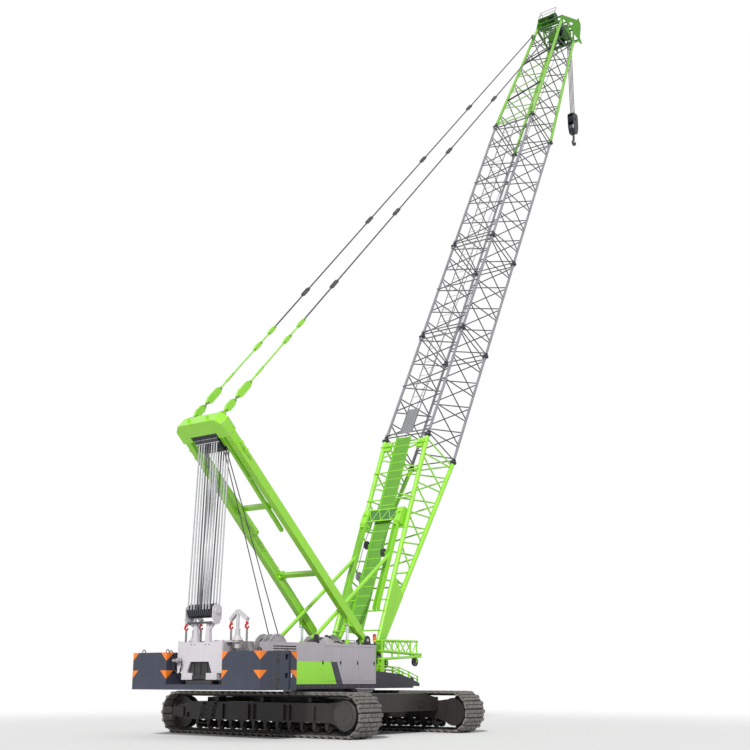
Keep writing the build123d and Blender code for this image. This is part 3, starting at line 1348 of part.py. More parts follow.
def build_front():
    nodes["stowed_strut"] = Compound(children=[stowed_truss()] + front_rails())
    x, y = lamp_place
    lamp = box(housing_front - 130, x + 70, y - 60, y + 60, housing_top + seat_gap, housing_top + 45)
    lamp += tube((x, y, housing_top + 40), (x, y, housing_top + 130), 30)
    for index in range(3):
        z = housing_top + 110 + index * 95
        lamp += tube((x, y, z), (x, y, z + 85), 62)
        lamp += tube((x, y, z + 80), (x, y, z + 100), 48)
    nodes["lamp_stack"] = lamp


def build_winches():
    """Grooved drums between flanges; the flanges have a rim and lightening holes."""
    for name, (x, y0, y1, z) in winches.items():
        drum = disc(x, z, y0, y1, drum_radius) + disc(x, z, y0 - 50, y1 + 50, drum_shaft_radius)
        for face, way in ((y0, 1), (y1, -1)):
            flange = disc(x, z, face, face + way * 40, flange_radius)
            flange -= disc(x, z, face - way * 5, face + way * 14, flange_radius - 60)
            drum += flange + disc(x, z, face, face + way * 30, 170)
        if name == "rear":
            drum += disc(x, z, (y0 + y1) / 2 - 15, (y0 + y1) / 2 + 15, flange_radius - 10)
        nodes["winch_drum_" + name] = drum


def hook_shape(x, z):
    """A shank and a bowl: a thick ring opened at one side, with a beak above the opening."""
    bowl = disc(x, z, -48, 48, hook_outer) - disc(x + 12, z + 14, -60, 60, hook_bowl)
    bowl -= slab_xz([(x + 20, z + 150), (x + 20, z + 20), (x + 300, z - 10), (x + 300, z + 230),
                     (x + 90, z + 210)], -60, 60)
    beak = slab_xz([(x + 100, z - 60), (x + 172, z - 40), (x + 176, z + 40), (x + 130, z + 110)], -40, 40)
    neck = slab_xz([(x - 60, z + 80), (x + 20, z + 90), (x + 45, z + 330), (x - 45, z + 330)], -44, 44)
    return bowl + beak + neck


def build_hoist():
    """Falls of rope, the block with its cheeks and sheaves, and the hook that swivels below it."""
    x, _, z = boom_point(tip_end + head_shaft, 0, head_shaft_n)
    x += head_sheave
    top, bottom = z - hook_drop - seat_gap, z - hook_drop - block_height
    lines = []
    for index in range(4):
        y = (index - 1.5) * rope_pitch
        lines.append(tube((x + rope_radius + seat_gap, y, top + seat_gap),
                          (x + rope_radius + seat_gap, y, z), rope_radius))
    nodes["hoist_ropes"] = Compound(children=lines)
    x += 20
    half = block_half_x
    outline = [(x - half * 0.55, bottom), (x + half * 0.55, bottom), (x + half, bottom + 380),
               (x + half, top - 120),
               (x + half - 90, top), (x - half + 90, top), (x - half, top - 120), (x - half, bottom + 380)]
    block = []
    for side in (-1, 1):
        block.append(slab_xz(outline, side * (block_half_y - 30), side * block_half_y))
        block.append(disc(x, top - 330, side * block_half_y, side * (block_half_y + 25), 95))
    block.append(slab_xz([(x - 130, bottom), (x + 130, bottom), (x + 210, bottom + 300),
                          (x - 210, bottom + 300)],
                         -block_half_y, block_half_y))
    block.append(box(x - half + 60, x + half - 60, -block_half_y, block_half_y, top - 60, top))
    block.append(disc(x, top - 330, -block_half_y, block_half_y, 50))
    for index in range(4):
        y = (index - 1.5) * rope_pitch
        block.append(disc(x, top - 330, y - 28, y + 28, half - 15))
    nodes["hook_block"] = union(block)
    bowl_z = bottom - hook_drop_below
    shank = tube((x, 0, bowl_z + 300), (x, 0, bottom - seat_gap), 62)
    nodes["hook"] = shank + hook_shape(x, bowl_z)


if __name__ == "__main__":
    build_undercarriage()
    build_deck()
    build_housings()
    build_tail()
    build_counterweight()
    build_boom()
    build_mast()
    build_links()
    build_pendants()
    build_cab()
    build_front()
    build_winches()
    build_hoist()
    for name, shape in nodes.items():
        export_step(shape, "parts/%s.step" % name)
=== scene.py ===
import math
import bpy
import numpy as np
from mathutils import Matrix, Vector


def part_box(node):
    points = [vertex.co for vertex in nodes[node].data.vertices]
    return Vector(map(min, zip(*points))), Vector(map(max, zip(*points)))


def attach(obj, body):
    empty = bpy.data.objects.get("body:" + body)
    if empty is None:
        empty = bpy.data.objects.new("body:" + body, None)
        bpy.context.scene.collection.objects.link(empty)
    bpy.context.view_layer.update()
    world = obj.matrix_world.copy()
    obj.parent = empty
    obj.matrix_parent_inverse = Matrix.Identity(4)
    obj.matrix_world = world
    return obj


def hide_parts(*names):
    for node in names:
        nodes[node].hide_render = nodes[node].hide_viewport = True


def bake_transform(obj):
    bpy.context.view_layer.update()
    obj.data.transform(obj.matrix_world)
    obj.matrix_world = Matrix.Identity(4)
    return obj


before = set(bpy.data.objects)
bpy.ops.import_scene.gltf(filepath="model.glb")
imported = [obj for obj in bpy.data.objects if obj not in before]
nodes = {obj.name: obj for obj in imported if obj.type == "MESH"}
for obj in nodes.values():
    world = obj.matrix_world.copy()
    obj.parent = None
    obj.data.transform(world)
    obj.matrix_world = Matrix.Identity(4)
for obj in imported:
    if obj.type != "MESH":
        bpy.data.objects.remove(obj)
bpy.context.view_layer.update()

forward, sideways, upward = np.eye(3)
boomAt = {"foot": (1.66, 2.64), "angle": 62.6}  # foot pin's x and z, and the boom's slope
mastAt = {"foot": (1.01, 3.245), "angle": 136.7}
slopes = {"boom": boomAt, "mast": mastAt}
hoistAt = (-6.1, 4.05)  # x and z of the boom hoist's lower sheaves
mastSheaves = 9.45  # along the mast to its sheaves
boomHalf = (1.11, 1.03)  # the chords' middles on the inserts, across and over
tipStart, tipTaper = 30.67, (0.0375, 0.0307)  # where the tip starts, and how fast its chords draw together


# every shape is (points, quads, triangles), whole arrays of numbers
def surface(grid, capped=True):
    # a grid of points (rows along, columns around) becomes quads between neighbours;
    # the two open ends get a fan of triangles about the ring's middle
    rows, columns = grid.shape[:2]
    number = np.arange(rows * columns).reshape(rows, columns)
    around = np.hstack((number, number[:, :1]))
    quads = np.stack((around[:-1, :-1], around[:-1, 1:], around[1:, 1:], around[1:, :-1]), -1).reshape(-1, 4)
    points, triangles = grid.reshape(-1, 3), np.zeros((0, 3), int)
    if capped:
        first, last, count = number[0], number[-1], rows * columns
        start = np.stack((np.roll(first, -1), first, np.full(columns, count)), -1)
        end = np.stack((last, np.roll(last, -1), np.full(columns, count + 1)), -1)
        points = np.vstack((points, grid[0].mean(0), grid[-1].mean(0)))
        triangles = np.vstack((start, end))
    return points, quads, triangles


def joined(*shapes):
    # the points one after another, and each shape's numbers raised by the points before it
    shifts = np.cumsum([0] + [len(shape[0]) for shape in shapes[:-1]])
    return tuple(np.vstack([shape[part] + (shift if part else 0) for shape, shift in zip(shapes, shifts)])
                 for part in range(3))


def outwards(shape):
    # six times the volume is the sum over the faces of a . (b x c); they turn over where it is negative
    points, quads, triangles = shape
    corners = np.vstack((quads[:, :3], quads[:, (0, 2, 3)], triangles))
    first, second, third = (points[corners[:, index]] - points.mean(0) for index in range(3))
    if np.einsum("ij,ij->", first, np.cross(second, third)) < 0:
        quads, triangles = quads[:, ::-1], triangles[:, ::-1]
    return points, quads, triangles


def copies(shape, places, turns=np.eye(3)):
    # every point is multiplied by each copy's 3 by 3 turn and moved to its place
    points, quads, triangles = shape
    places = np.asarray(places, float)
    turns = np.broadcast_to(turns, (len(places), 3, 3))
    moved = np.einsum("cij,pj->cpi", turns, points) + places[:, None, :]
    shift = (np.arange(len(places)) * len(points))[:, None, None]
    return moved.reshape(-1, 3), (quads + shift).reshape(-1, 4), (triangles + shift).reshape(-1, 3)


def carried(profile, path, lift=upward):
    # a closed profile (across, up), or one for each point, is carried along a path; across is square to the
    # run and to lift
    path = np.asarray(path, float)
    run = np.gradient(path, axis=0)
    run /= np.linalg.norm(run, axis=1, keepdims=True)
    across = np.cross(lift, run)
    across /= np.linalg.norm(across, axis=1, keepdims=True)
    over = np.cross(run, across)
    return surface(path[:, None] + profile[..., :1] * across[:, None] + profile[..., 1:] * over[:, None])


def ring(radius, sides):
    # points of a circle: radius times the cosine and the sine of evenly spaced angles
    angle = np.arange(sides) / sides * 2 * np.pi
    return radius * np.stack((np.cos(angle), np.sin(angle)), -1)


def ringPlaces(count, radius, centre, first, second, start=0.5):
    # places on a circle: the centre plus the radius times (first direction x sine + second x cosine)
    angle = (np.arange(count)[:, None] + start) / count * 2 * np.pi
    return np.asarray(centre) + radius * (np.sin(angle) * first + np.cos(angle) * second)


def rod(start, end, radius, sides=12):
    # a circle carried along a straight run
    start, end = np.asarray(start, float), np.asarray(end, float)
    level = abs((end - start)[2]) > 0.95 * np.linalg.norm(end - start)
    return carried(ring(radius, sides), np.stack((start, end)), forward if level else upward)


def block(low, high, chamfer):
    # a rectangle with cut corners carried upward, drawn in by the chamfer at both ends
    low, high = np.asarray(low, float), np.asarray(high, float)
    centre, half = (low + high) / 2, (high - low) / 2
    signs = np.repeat(((1, 1), (-1, 1), (-1, -1), (1, -1)), 2, axis=0)
    inward = np.array(((0, 1), (1, 0), (1, 0), (0, 1), (0, 1), (1, 0), (1, 0), (0, 1)))
    full = signs * half[:2] - chamfer * inward * signs
    drawn = full - chamfer * signs * (1 - inward)
    heights = np.array((-half[2], -half[2] + chamfer, half[2] - chamfer, half[2]))
    levels = np.broadcast_to(heights[:, None, None], (4, 8, 1))
    return surface(np.concatenate((np.stack((drawn, full, full, drawn)), levels), -1) + centre)


def blocks(chamfer, *boxes):
    return [block(low, high, chamfer) for low, high in boxes]


def prism(outline, origin, across, over, thick):
    # a flat outline (across, over) lies at the origin and is carried by its thickness along across x over
    flat = np.asarray(outline, float)
    sheet = np.asarray(origin, float) + flat[:, :1] * across + flat[:, 1:] * over
    return outwards(surface(np.stack((sheet, sheet + np.cross(across, over) * thick))))


def lathe(profile, centre, axis, sides=32):
    # a profile of (distance along the axis, radius) goes once round the axis
    axis, profile = np.asarray(axis, float), np.asarray(profile, float)
    first = np.cross(axis, upward if abs(axis[2]) < 0.9 else forward)
    first /= np.linalg.norm(first)
    turn = ring(1.0, sides)
    spoke = turn[:, :1] * first + turn[:, 1:] * np.cross(axis, first)
    return surface(profile[:, None, :1] * axis + profile[:, None, 1:] * spoke + np.asarray(centre, float))


def raised(shape, at):
    # the slope turns (along, over) about the foot: x = along cos - over sin, z = along sin + over cos
    points, quads, triangles = shape
    turn = math.radians(at["angle"])
    along, across, over = np.asarray(points, float).T
    placed = np.stack((at["foot"][0] + along * math.cos(turn) - over * math.sin(turn), across,
                       at["foot"][1] + along * math.sin(turn) + over * math.cos(turn)), -1)
    return placed, quads, triangles


def spot(along, across, over, at):
    # one place on the raised boom or mast
    return raised((np.array(((along, across, over),)), None, None), at)[0][0]


def knob(place, axis, radius, rise, height, top, sides=16):
    # a round cap: straight for its rise, then drawn in to its top
    return lathe(((0, radius), (rise, radius), (height, top)), place, axis, sides)


def bolts(places, axis, radius, height):
    # six-sided heads with a drawn-in top, one at each place
    return copies(knob((0, 0, 0), axis, radius, height * 0.7, height, radius * 0.75, 6), places)


def hose(points, radius, sides=10, count=24):
    # a smooth run pulled by its middle points: neighbours are mixed again and again until one place is left
    share = np.linspace(0, 1, count)[:, None, None]
    points = np.repeat(np.asarray(points, float)[None], count, 0)
    while points.shape[1] > 1:
        points = points[:, :-1] * (1 - share) + points[:, 1:] * share
    return carried(ring(radius, sides), points[:, 0], np.array((0.13, 0.21, 0.97)))


def liftingEye(place, half, height, radius, sides=8, count=9):
    # half an ellipse of bar: half times the cosine along, height times the sine up
    arc = np.linspace(0, math.pi, count)[:, None]
    path = np.asarray(place) + half * np.cos(arc) * forward + height * np.sin(arc) * upward
    return carried(ring(radius, sides), path, sideways)


def piece(name, shapes, finish, body="superstructure", smooth=35.0):
    # the arrays go into a mesh, flat faces and round ones told apart by their angle
    points, quads, triangles = joined(*shapes) if isinstance(shapes, list) else shapes
    mesh = bpy.data.meshes.new(name)
    mesh.from_pydata(points.tolist(), [], quads.tolist() + triangles.tolist())
    mesh.validate()
    if smooth:
        mesh.shade_smooth()
        mesh.set_sharp_from_angle(angle=math.radians(smooth))
    made = bpy.data.objects.new(name, mesh)
    bpy.context.scene.collection.objects.link(made)
    mesh.materials.append(finishes[finish])
    if body:
        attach(made, body)
    return made


def raisedPiece(name, shapes, finish, body, smooth=35.0):
    # shapes drawn lying on the boom or mast are raised with it
    return piece(name, raised(joined(*shapes), slopes[body]), finish, body, smooth)


class Field:
    # a number that varies over a surface; each operation on it adds a Math node
    def __init__(self, tree, socket):
        self.tree, self.socket = tree, socket

    def calc(self, operation, *values):
        node = addNode(self.tree, "ShaderNodeMath", dict(enumerate((self, *values))), operation=operation)
        return Field(self.tree, node.outputs[0])

    def __add__(self, other):
        return self.calc("ADD", other)

    def __sub__(self, other):
        return self.calc("SUBTRACT", other)

    def __mul__(self, other):
        return self.calc("MULTIPLY", other)

    def __lt__(self, other):
        return self.calc("LESS_THAN", other)

    def __gt__(self, other):
        return self.calc("GREATER_THAN", other)

    def __abs__(self):
        return self.calc("ABSOLUTE")

    def near(self, middle, reach):
        return self.calc("COMPARE", middle, reach)


def feed(tree, node, values):
    # an input is linked to a field or a socket, or set to a number or a colour
    for key, value in values.items():
        entry = node.inputs[key]
        value = value.socket if isinstance(value, Field) else value
        if isinstance(value, bpy.types.NodeSocket):
            tree.links.new(value, entry)
        else:
            entry.default_value = (*value, 1) if entry.type == "RGBA" else value


def addNode(tree, kind, values=None, **settings):
    node = tree.nodes.new(kind)
    for key, value in settings.items():
        setattr(node, key, value)
    feed(tree, node, values or {})
    return node


def noise(tree, place, scale, detail=2.0, roughness=0.5):
    values = {"Vector": place, "Scale": scale, "Detail": detail, "Roughness": roughness}
    return Field(tree, addNode(tree, "ShaderNodeTexNoise", values).outputs["Fac"])


def ramp(value, fromLow, fromHigh, toLow=0.0, toHigh=1.0, kind="LINEAR"):
    values = {"Value": value, "From Min": fromLow, "From Max": fromHigh, "To Min": toLow, "To Max": toHigh}
    made = addNode(value.tree, "ShaderNodeMapRange", values, interpolation_type=kind)
    return Field(value.tree, made.outputs[0])


def mixed(factor, first, second):
    # two colours or sockets mixed by a field
    values = {"Factor": factor, "A": first, "B": second}
    return addNode(factor.tree, "ShaderNodeMix", values, data_type="RGBA").outputs["Result"]


def scaled(tree, place, scale):
    return addNode(tree, "ShaderNodeMapping", {"Vector": place, "Scale": scale}).outputs[0]


def toned(colour, shade):
    values = {0: colour, "Scale": shade}
    return addNode(shade.tree, "ShaderNodeVectorMath", values, operation="SCALE").outputs[0]


def split(tree, vector):
    return [Field(tree, part) for part in addNode(tree, "ShaderNodeSeparateXYZ", {0: vector}).outputs]


def lyingPlace(tree, place, at):
    # Object coordinates turned back by the slope about the foot pin: (along, across, over)
    turn = math.radians(at["angle"])
    x, z = at["foot"]
    moved = (-(x * math.cos(turn) + z * math.sin(turn)), 0.0, x * math.sin(turn) - z * math.cos(turn))
    values = {"Vector": place, "Location": moved, "Rotation": (0.0, turn, 0.0)}
    return split(tree, addNode(tree, "ShaderNodeMapping", values).outputs[0])


finishes = {}


def newFinish(name, roughness, metallic=0.0, coat=0.0, shine=0.5):
    # what is the same all over is set on the shader itself
    finishes[name] = bpy.data.materials.new(name)
    finishes[name].use_nodes = True
    tree = finishes[name].node_tree
    shader = tree.nodes["Principled BSDF"]
    feed(tree, shader, {"Roughness": roughness, "Metallic": metallic, "Specular IOR Level": shine,
                        "Coat Weight": coat, "Coat Roughness": 0.15})
    return tree, shader, addNode(tree, "ShaderNodeTexCoord").outputs["Object"]


def relief(tree, strength, distance, height):
    values = {"Strength": strength, "Distance": distance, "Height": height}
    return addNode(tree, "ShaderNodeBump", values).outputs["Normal"]


dustTone, primerTone = (0.42, 0.38, 0.33), (0.16, 0.14, 0.13)


def paint(name, colour, roughness=0.42, coat=0.15, mottle=0.06, dust=0.2, chips=0.35, shine=0.5, zones=None):
    # paint: wide noise shades it, streaks run down it, dust lies on what faces up, chips show the primer,
    # fine noise moves its gloss, and an orange-peel bump covers it; zones are (mask, colour) laid first
    tree, shader, place = newFinish(name, roughness, coat=coat, shine=shine)
    wide, fine = noise(tree, place, 0.6, 4.0, 0.6), noise(tree, place, 30.0)
    streak = noise(tree, scaled(tree, place, (9.0, 9.0, 0.5)), 1.0, 3.0)
    for mask, zoneColour in (zones(tree, place) if zones else ()):
        colour = mixed(mask, colour, zoneColour)
    shade = ramp(wide, 0.3, 0.7, 1 - mottle, 1 + mottle)
    shade = shade * ramp(streak, 0.35, 0.75, 1 + mottle * 0.5, 1 - mottle)
    facing = split(tree, addNode(tree, "ShaderNodeNewGeometry").outputs["Normal"])[2]
    lying = ramp(facing, 0.55, 1.0, 0.0, dust) * wide
    chip = (noise(tree, place, 14.0, 5.0, 0.65) > 0.735) * chips
    height = noise(tree, place, 150.0, 1.0) + wide * 3.0
    feed(tree, shader, {"Base Color": mixed(chip, mixed(lying, toned(colour, shade), dustTone), primerTone),
                        "Roughness": ramp(fine, 0.3, 0.7, roughness - 0.06, roughness + 0.08) + lying * 0.8,
                        "Normal": relief(tree, 0.08, 0.002, height)})


def bareMetal(name, colour, roughness, grain, wear, metallic=1.0):
    # drawn or turned steel: a fine grain stretched along the piece moves the tone and the gloss
    tree, shader, place = newFinish(name, roughness, metallic)
    lines, wide = noise(tree, scaled(tree, place, grain), 1.0, 3.0), noise(tree, place, 3.0, 3.0)
    shade = ramp(lines, 0.3, 0.7, 1 - wear, 1 + wear) * ramp(wide, 0.3, 0.7, 0.9, 1.08)
    feed(tree, shader, {"Base Color": toned(colour, shade),
                        "Roughness": ramp(lines, 0.3, 0.7, roughness - 0.05, roughness + 0.12)})


def rubber(name, colour, roughness=0.7):
    # moulded rubber or plastic: a fine pebble in its bump, worn paler in wide patches
    tree, shader, place = newFinish(name, roughness)
    wide, pebble = noise(tree, place, 5.0, 3.0), noise(tree, place, 260.0)
    pale = tuple(min(1.0, value * 1.5 + 0.012) for value in colour)
    feed(tree, shader, {"Base Color": mixed(ramp(wide, 0.35, 0.75), colour, pale),
                        "Roughness": ramp(pebble, 0.3, 0.7, roughness - 0.08, roughness + 0.08),
                        "Normal": relief(tree, 0.25, 0.001, pebble)})


def glass(name, tint, alpha):
    # a tinted pane with faint dust in wide patches
    tree, shader, place = newFinish(name, 0.04)
    film = ramp(noise(tree, place, 4.0, 4.0), 0.4, 0.8, 0.0, 0.1)
    feed(tree, shader, {"Base Color": mixed(film, tint, (0.5, 0.5, 0.48)), "Roughness": film + 0.03,
                        "Alpha": film + alpha})


green, thinGreen, linkTone = (0.31, 0.74, 0.036), (0.2, 0.5, 0.04), (0.3, 0.74, 0.035)
lightGrey, midGrey, sheaveTone = (0.25, 0.245, 0.275), (0.095, 0.09, 0.105), (0.018, 0.02, 0.033)


def circle(first, second, middle, radius):
    # 1 where the squares of the two distances from the middle add up to less than the radius's
    first, second = first - middle[0], second - middle[1]
    return (first * first + second * second) < radius * radius


def awayFromChords(tree, place, reach, taper=(0.0, 0.0), start=0.0):
    # 1 where a point is further than the reach from the nearest chord's centre line
    along, across, over = lyingPlace(tree, place, boomAt)
    gone = along - start
    across, over = (abs(value) - gone.calc("MULTIPLY_ADD", -share, half)
                    for value, share, half in zip((across, over), taper, boomHalf))
    return (across * across + over * over) > reach * reach


def insertZones(tree, place):
    # pale chords and dark braces
    return ((awayFromChords(tree, place, 0.09), midGrey),)


def tipZones(tree, place):
    # green chords, dark braces, and green again for the lugs that stand over the rear side
    over = lyingPlace(tree, place, boomAt)[2]
    return ((awayFromChords(tree, place, 0.11, tipTaper, tipStart) * (over < 0.9), (0.045, 0.085, 0.03)),)


def baseZones(tree, place):
    # the plate behind the trussed tie is in shade, and the guide sheaves are dark, the lowest one paler
    along, across, over = lyingPlace(tree, place, boomAt)
    tie = along.near(5.875, 0.255) * across.near(0.0, 0.7) * over.near(0.893, 0.012)
    within = (abs(across) < 0.53) * (abs(across) > 0.4)
    sheaves = ((4.60, 0.71, sheaveTone), (4.21, 0.67, sheaveTone), (3.25, 0.57, (0.25, 0.25, 0.27)))
    return [(tie, (0.05, 0.19, 0.03))] + [(circle(along, over, (middle, high), 0.19) * within, tone)
                                          for middle, high, tone in sheaves]


def headZones(tree, place):
    # sheaves and the small box are dark; the cross members between the side plates are darker green in
    # painted shade
    along, across, over = lyingPlace(tree, place, boomAt)
    within = abs(across) < 0.2
    box = along.near(40.45, 0.215) * across.near(-0.02, 0.18) * over.near(0.66, 0.19)
    # painted shade: across under 0.74, between the side plates, is darker green
    return ((abs(across) < 0.74, (0.055, 0.17, 0.03)), ((along > 40.28) * (over > 0.4), (0.2, 0.22, 0.22)),
            (circle(along, over, (40.77, -0.70), 0.44) * within, sheaveTone),
            (circle(along, over, (39.79, -0.64), 0.21) * within, sheaveTone), (box, (0.03, 0.032, 0.045)))


def mastHeadZones(tree, place):
    # the sheaves and the slotted guard over them are dark
    along, across, over = lyingPlace(tree, place, mastAt)
    return ((circle(along, over, (mastSheaves, 0.0), 0.32) * (abs(across) < 0.535), sheaveTone),
            (along.near(9.72, 0.11) * (abs(across) < 0.575), sheaveTone))


def hoistBlockZones(tree, place):
    # the sheaves between the cheeks, what lies low behind the window in painted shade, and the cradle
    x, y, z = split(tree, place)
    pack = circle(x, z, hoistAt, 0.245) * (abs(y) < 0.618)
    cradle = z.near(3.67, 0.04) * (abs(y) < 0.61)
    # painted shade: at the rear below z 1.845 the plate is near black for the shade inside the opening
    return (pack, sheaveTone), ((z < 1.845) * (x < -5.9), (0.022, 0.022, 0.03)), (cradle, (0.05, 0.05, 0.065))


livery = {"top": 2.45, "edge": -1.57, "slant": 0.427, "stripe": 0.34, "rear": -4.45,
          "dark": (0.03, 0.026, 0.05), "green": (0.36, 0.88, 0.045)}


def liveryZones(tree, place):
    # on the outer sides: green behind a slanted edge, then a dark stripe
    x, y, z = split(tree, place)
    outer = (z < livery["top"]) * (abs(y) > 1.655) * (x > livery["rear"])
    edge = z.calc("MULTIPLY_ADD", -livery["slant"], livery["edge"] + livery["slant"] * livery["top"])
    return (outer * (x < edge + livery["stripe"]), livery["dark"]), (outer * (x < edge), livery["green"])


def jackZones(tree, place):
    # red hooks under the arm, bare chain below them
    x, y, z = split(tree, place)
    apart = abs(abs(y) - 1.02) > 0.2
    return (apart * (z < 3.70), (0.62, 0.012, 0.02)), (apart * (z < 3.46), (0.22, 0.21, 0.21))


def lampZones(tree, place):
    # three lenses one over another, between dark rims
    lenses = ((3.222, (0.85, 0.5, 0.02)), (3.317, (0.85, 0.16, 0.01)), (3.412, (0.7, 0.015, 0.01)))
    return [(split(tree, place)[2].near(middle, 0.036), colour) for middle, colour in lenses]


def walkwayZones(tree, place):
    # green on the base, grey on the inserts; bright edges, a bright bar each 0.4, and rows of dark holes
    along, across, over = lyingPlace(tree, place, boomAt)
    first, second = ((value * (2 * math.pi / 0.06)).calc("SINE") for value in (along, across))
    bars = along.calc("DIVIDE", 0.4).calc("FRACT") < 0.1
    bright = (abs(across) > 0.335).calc("MAXIMUM", bars) * (along < 9.7)
    return ((along > 9.7, (0.3, 0.3, 0.33)), ((first * second > 0.3) * 0.75, (0.04, 0.1, 0.02)),
            (bright, (0.24, 0.6, 0.05)))


def strutZones(tree, place):
    # the two wheels that hang from the folded strut are dark
    x, y, z = split(tree, place)
    wheels = ((3.64, 2.51), (1.75, 2.43))
    return [(y.near(-1.5, 0.06) * circle(x, z, wheel, 0.1844), sheaveTone) for wheel in wheels]


def shoeZones(tree, place):
    # the pads are worn to bare steel where they meet the ground
    return ((ramp(noise(tree, place, 5.0, 4.0, 0.6), 0.45, 0.6) * 0.5, (0.22, 0.205, 0.2)),)


# the colour, then roughness and clear coat where they follow it
paint("baseGreen", green, 0.35, 0.3, zones=baseZones)
paint("tipGreen", thinGreen, 0.35, 0.3, zones=tipZones)
paint("headGreen", (0.1, 0.34, 0.022), 0.5, 0.0, shine=0.2, zones=headZones)
paint("strutGreen", green, 0.38, 0.25, zones=strutZones)
paint("linkGreen", linkTone, 0.36, 0.3)
paint("mastGreen", green, 0.35, 0.3, zones=mastHeadZones)
paint("insertGrey", lightGrey, zones=insertZones)
paint("walkwayPaint", (0.17, 0.44, 0.06), 0.5, 0.0, shine=0.2, zones=walkwayZones)
paint("lacingGrey", (0.07, 0.07, 0.08), 0.45, shine=0.3)
paint("housingGrey", (0.46, 0.43, 0.47), 0.38, 0.3, mottle=0.035, chips=0.1, zones=liveryZones)
paint("cabGrey", (0.5, 0.475, 0.51), 0.38, 0.3, mottle=0.03, chips=0.1)
paint("tailGrey", (0.6, 0.57, 0.6), 0.38, 0.3, mottle=0.04, chips=0.15, zones=hoistBlockZones)
paint("jackGrey", (0.6, 0.57, 0.6), 0.38, 0.25, zones=jackZones)
paint("deckDark", (0.04, 0.036, 0.055), chips=0.15, shine=0.3)
paint("weightSlate", (0.045, 0.052, 0.078), 0.46, mottle=0.1, chips=0.2, shine=0.3)
paint("frameBlack", (0.03, 0.026, 0.025), 0.45, mottle=0.15, dust=0.45, shine=0.3)
paint("shoeSteel", (0.15, 0.138, 0.13), 0.6, 0.0, mottle=0.22, zones=shoeZones)
paint("chainDark", (0.022, 0.02, 0.019), 0.5, 0.0, mottle=0.2, dust=0.3)
paint("coverDark", (0.05, 0.046, 0.045), mottle=0.08, dust=0.1, shine=0.3)
paint("sheaveDark", sheaveTone, 0.35, shine=0.3)
paint("winchGrey", (0.5, 0.48, 0.5), 0.4)
paint("signalOrange", (0.88, 0.21, 0.012), 0.3, mottle=0.03, dust=0.05, chips=0.1)
paint("signalWhite", (0.8, 0.8, 0.78), 0.3, mottle=0.03, dust=0.05, chips=0.1)
paint("lampStack", (0.02, 0.02, 0.022), 0.25, 0.5, chips=0.0, zones=lampZones)
rubber("seatBlack", (0.03, 0.03, 0.033), 0.8)
rubber("hoseBlack", (0.02, 0.02, 0.022), 0.5)
rubber("trimBlack", (0.018, 0.018, 0.02), 0.45)
bareMetal("rodChrome", (0.75, 0.77, 0.8), 0.14, (4.0, 4.0, 90.0), 0.05)
bareMetal("ropeSteel", (0.5, 0.5, 0.52), 0.45, (120.0, 120.0, 60.0), 0.25, 0.5)
bareMetal("ropeGrey", (0.13, 0.13, 0.14), 0.5, (120.0, 120.0, 60.0), 0.3, 0.3)
bareMetal("ropeGreased", (0.12, 0.115, 0.12), 0.45, (120.0, 120.0, 60.0), 0.35)
bareMetal("boltSteel", (0.4, 0.4, 0.42), 0.35, (30.0, 30.0, 30.0), 0.2)
bareMetal("frameBolt", (0.1, 0.095, 0.09), 0.45, (30.0, 30.0, 30.0), 0.2)
bareMetal("mirrorGlass", (0.8, 0.82, 0.84), 0.06, (8.0, 8.0, 8.0), 0.02)
glass("paneGlass", (0.03, 0.04, 0.045), 0.55)
glass("lensWhite", (0.75, 0.76, 0.74), 0.85)

# a node takes the first finish that lists the start of its name
nodeFinishes = {
    "frameBlack": ("track_frame", "running_gear", "carbody", "slewing_ring"), "shoeSteel": ("track_",),
    "deckDark": ("deck", "engine"), "winchGrey": ("foot_pins", "winch"), "housingGrey": ("housing",),
    "tailGrey": ("tail_frame", "boom_hoist_block"), "jackGrey": ("jack",), "seatBlack": ("cab_seat",),
    "cabGrey": ("cab",), "weightSlate": ("counterweight",), "insertGrey": ("boom_insert",),
    "lacingGrey": ("pendant",), "rodChrome": ("mast_rod",), "baseGreen": ("boom_base", "backstop"),
    "tipGreen": ("boom_tip",), "headGreen": ("boom_head",), "mastGreen": ("mast",),
    "walkwayPaint": ("walkway",), "strutGreen": ("stowed_strut",), "ropeSteel": ("hoist_ropes",),
    "sheaveDark": ("hook",), "lampStack": ("lamp_stack",),
}
for name, node in nodes.items():
    node.data.materials.clear()
    node.data.materials.append(finishes[next(finish for finish, starts in nodeFinishes.items()
                                             if name.startswith(starts))])
print("finishes on", len(nodes), "nodes")


track = {"gauge": 6.02, "wheelY": 3.965, "radius": 0.725, "shoes": 66, "half": 0.59}
padRows = (((-0.59, -0.33), (-0.29, -0.03), (0.03, 0.29), (0.33, 0.59)),
           ((-0.47, -0.17), (-0.13, 0.13), (0.17, 0.47)))
trackSides = (("left", -1), ("right", 1))


def aroundTrack(distance, side):
    # straight below, half a turn, straight above, half a turn: each place is (0, the bend's middle + radius x
    # sine, radius - radius x cosine), and its turn takes along to the tangent and up to the inside
    straight, radius = 2 * track["wheelY"], track["radius"]
    bend = math.pi * radius
    distance = np.mod(distance, 2 * (straight + bend))
    stretches = (distance < straight, distance < straight + bend, distance < 2 * straight + bend)
    nought, one = np.zeros_like(distance), np.ones_like(distance)
    turn = np.select(stretches, (nought, (distance - straight) / radius, nought + math.pi),
                     math.pi + (distance - 2 * straight - bend) / radius)
    middle = np.select(stretches, (distance - track["wheelY"], nought + track["wheelY"],
                                   track["wheelY"] - (distance - straight - bend)), -track["wheelY"])
    cosine, sine = np.cos(turn), np.sin(turn)
    beside = nought + side * track["gauge"] / 2
    places = np.stack((beside, middle + radius * sine, radius - radius * cosine), -1)
    rows = ((one, nought, nought), (nought, cosine, -sine), (nought, sine, cosine))
    return places, np.moveaxis(np.array(rows), 2, 0)


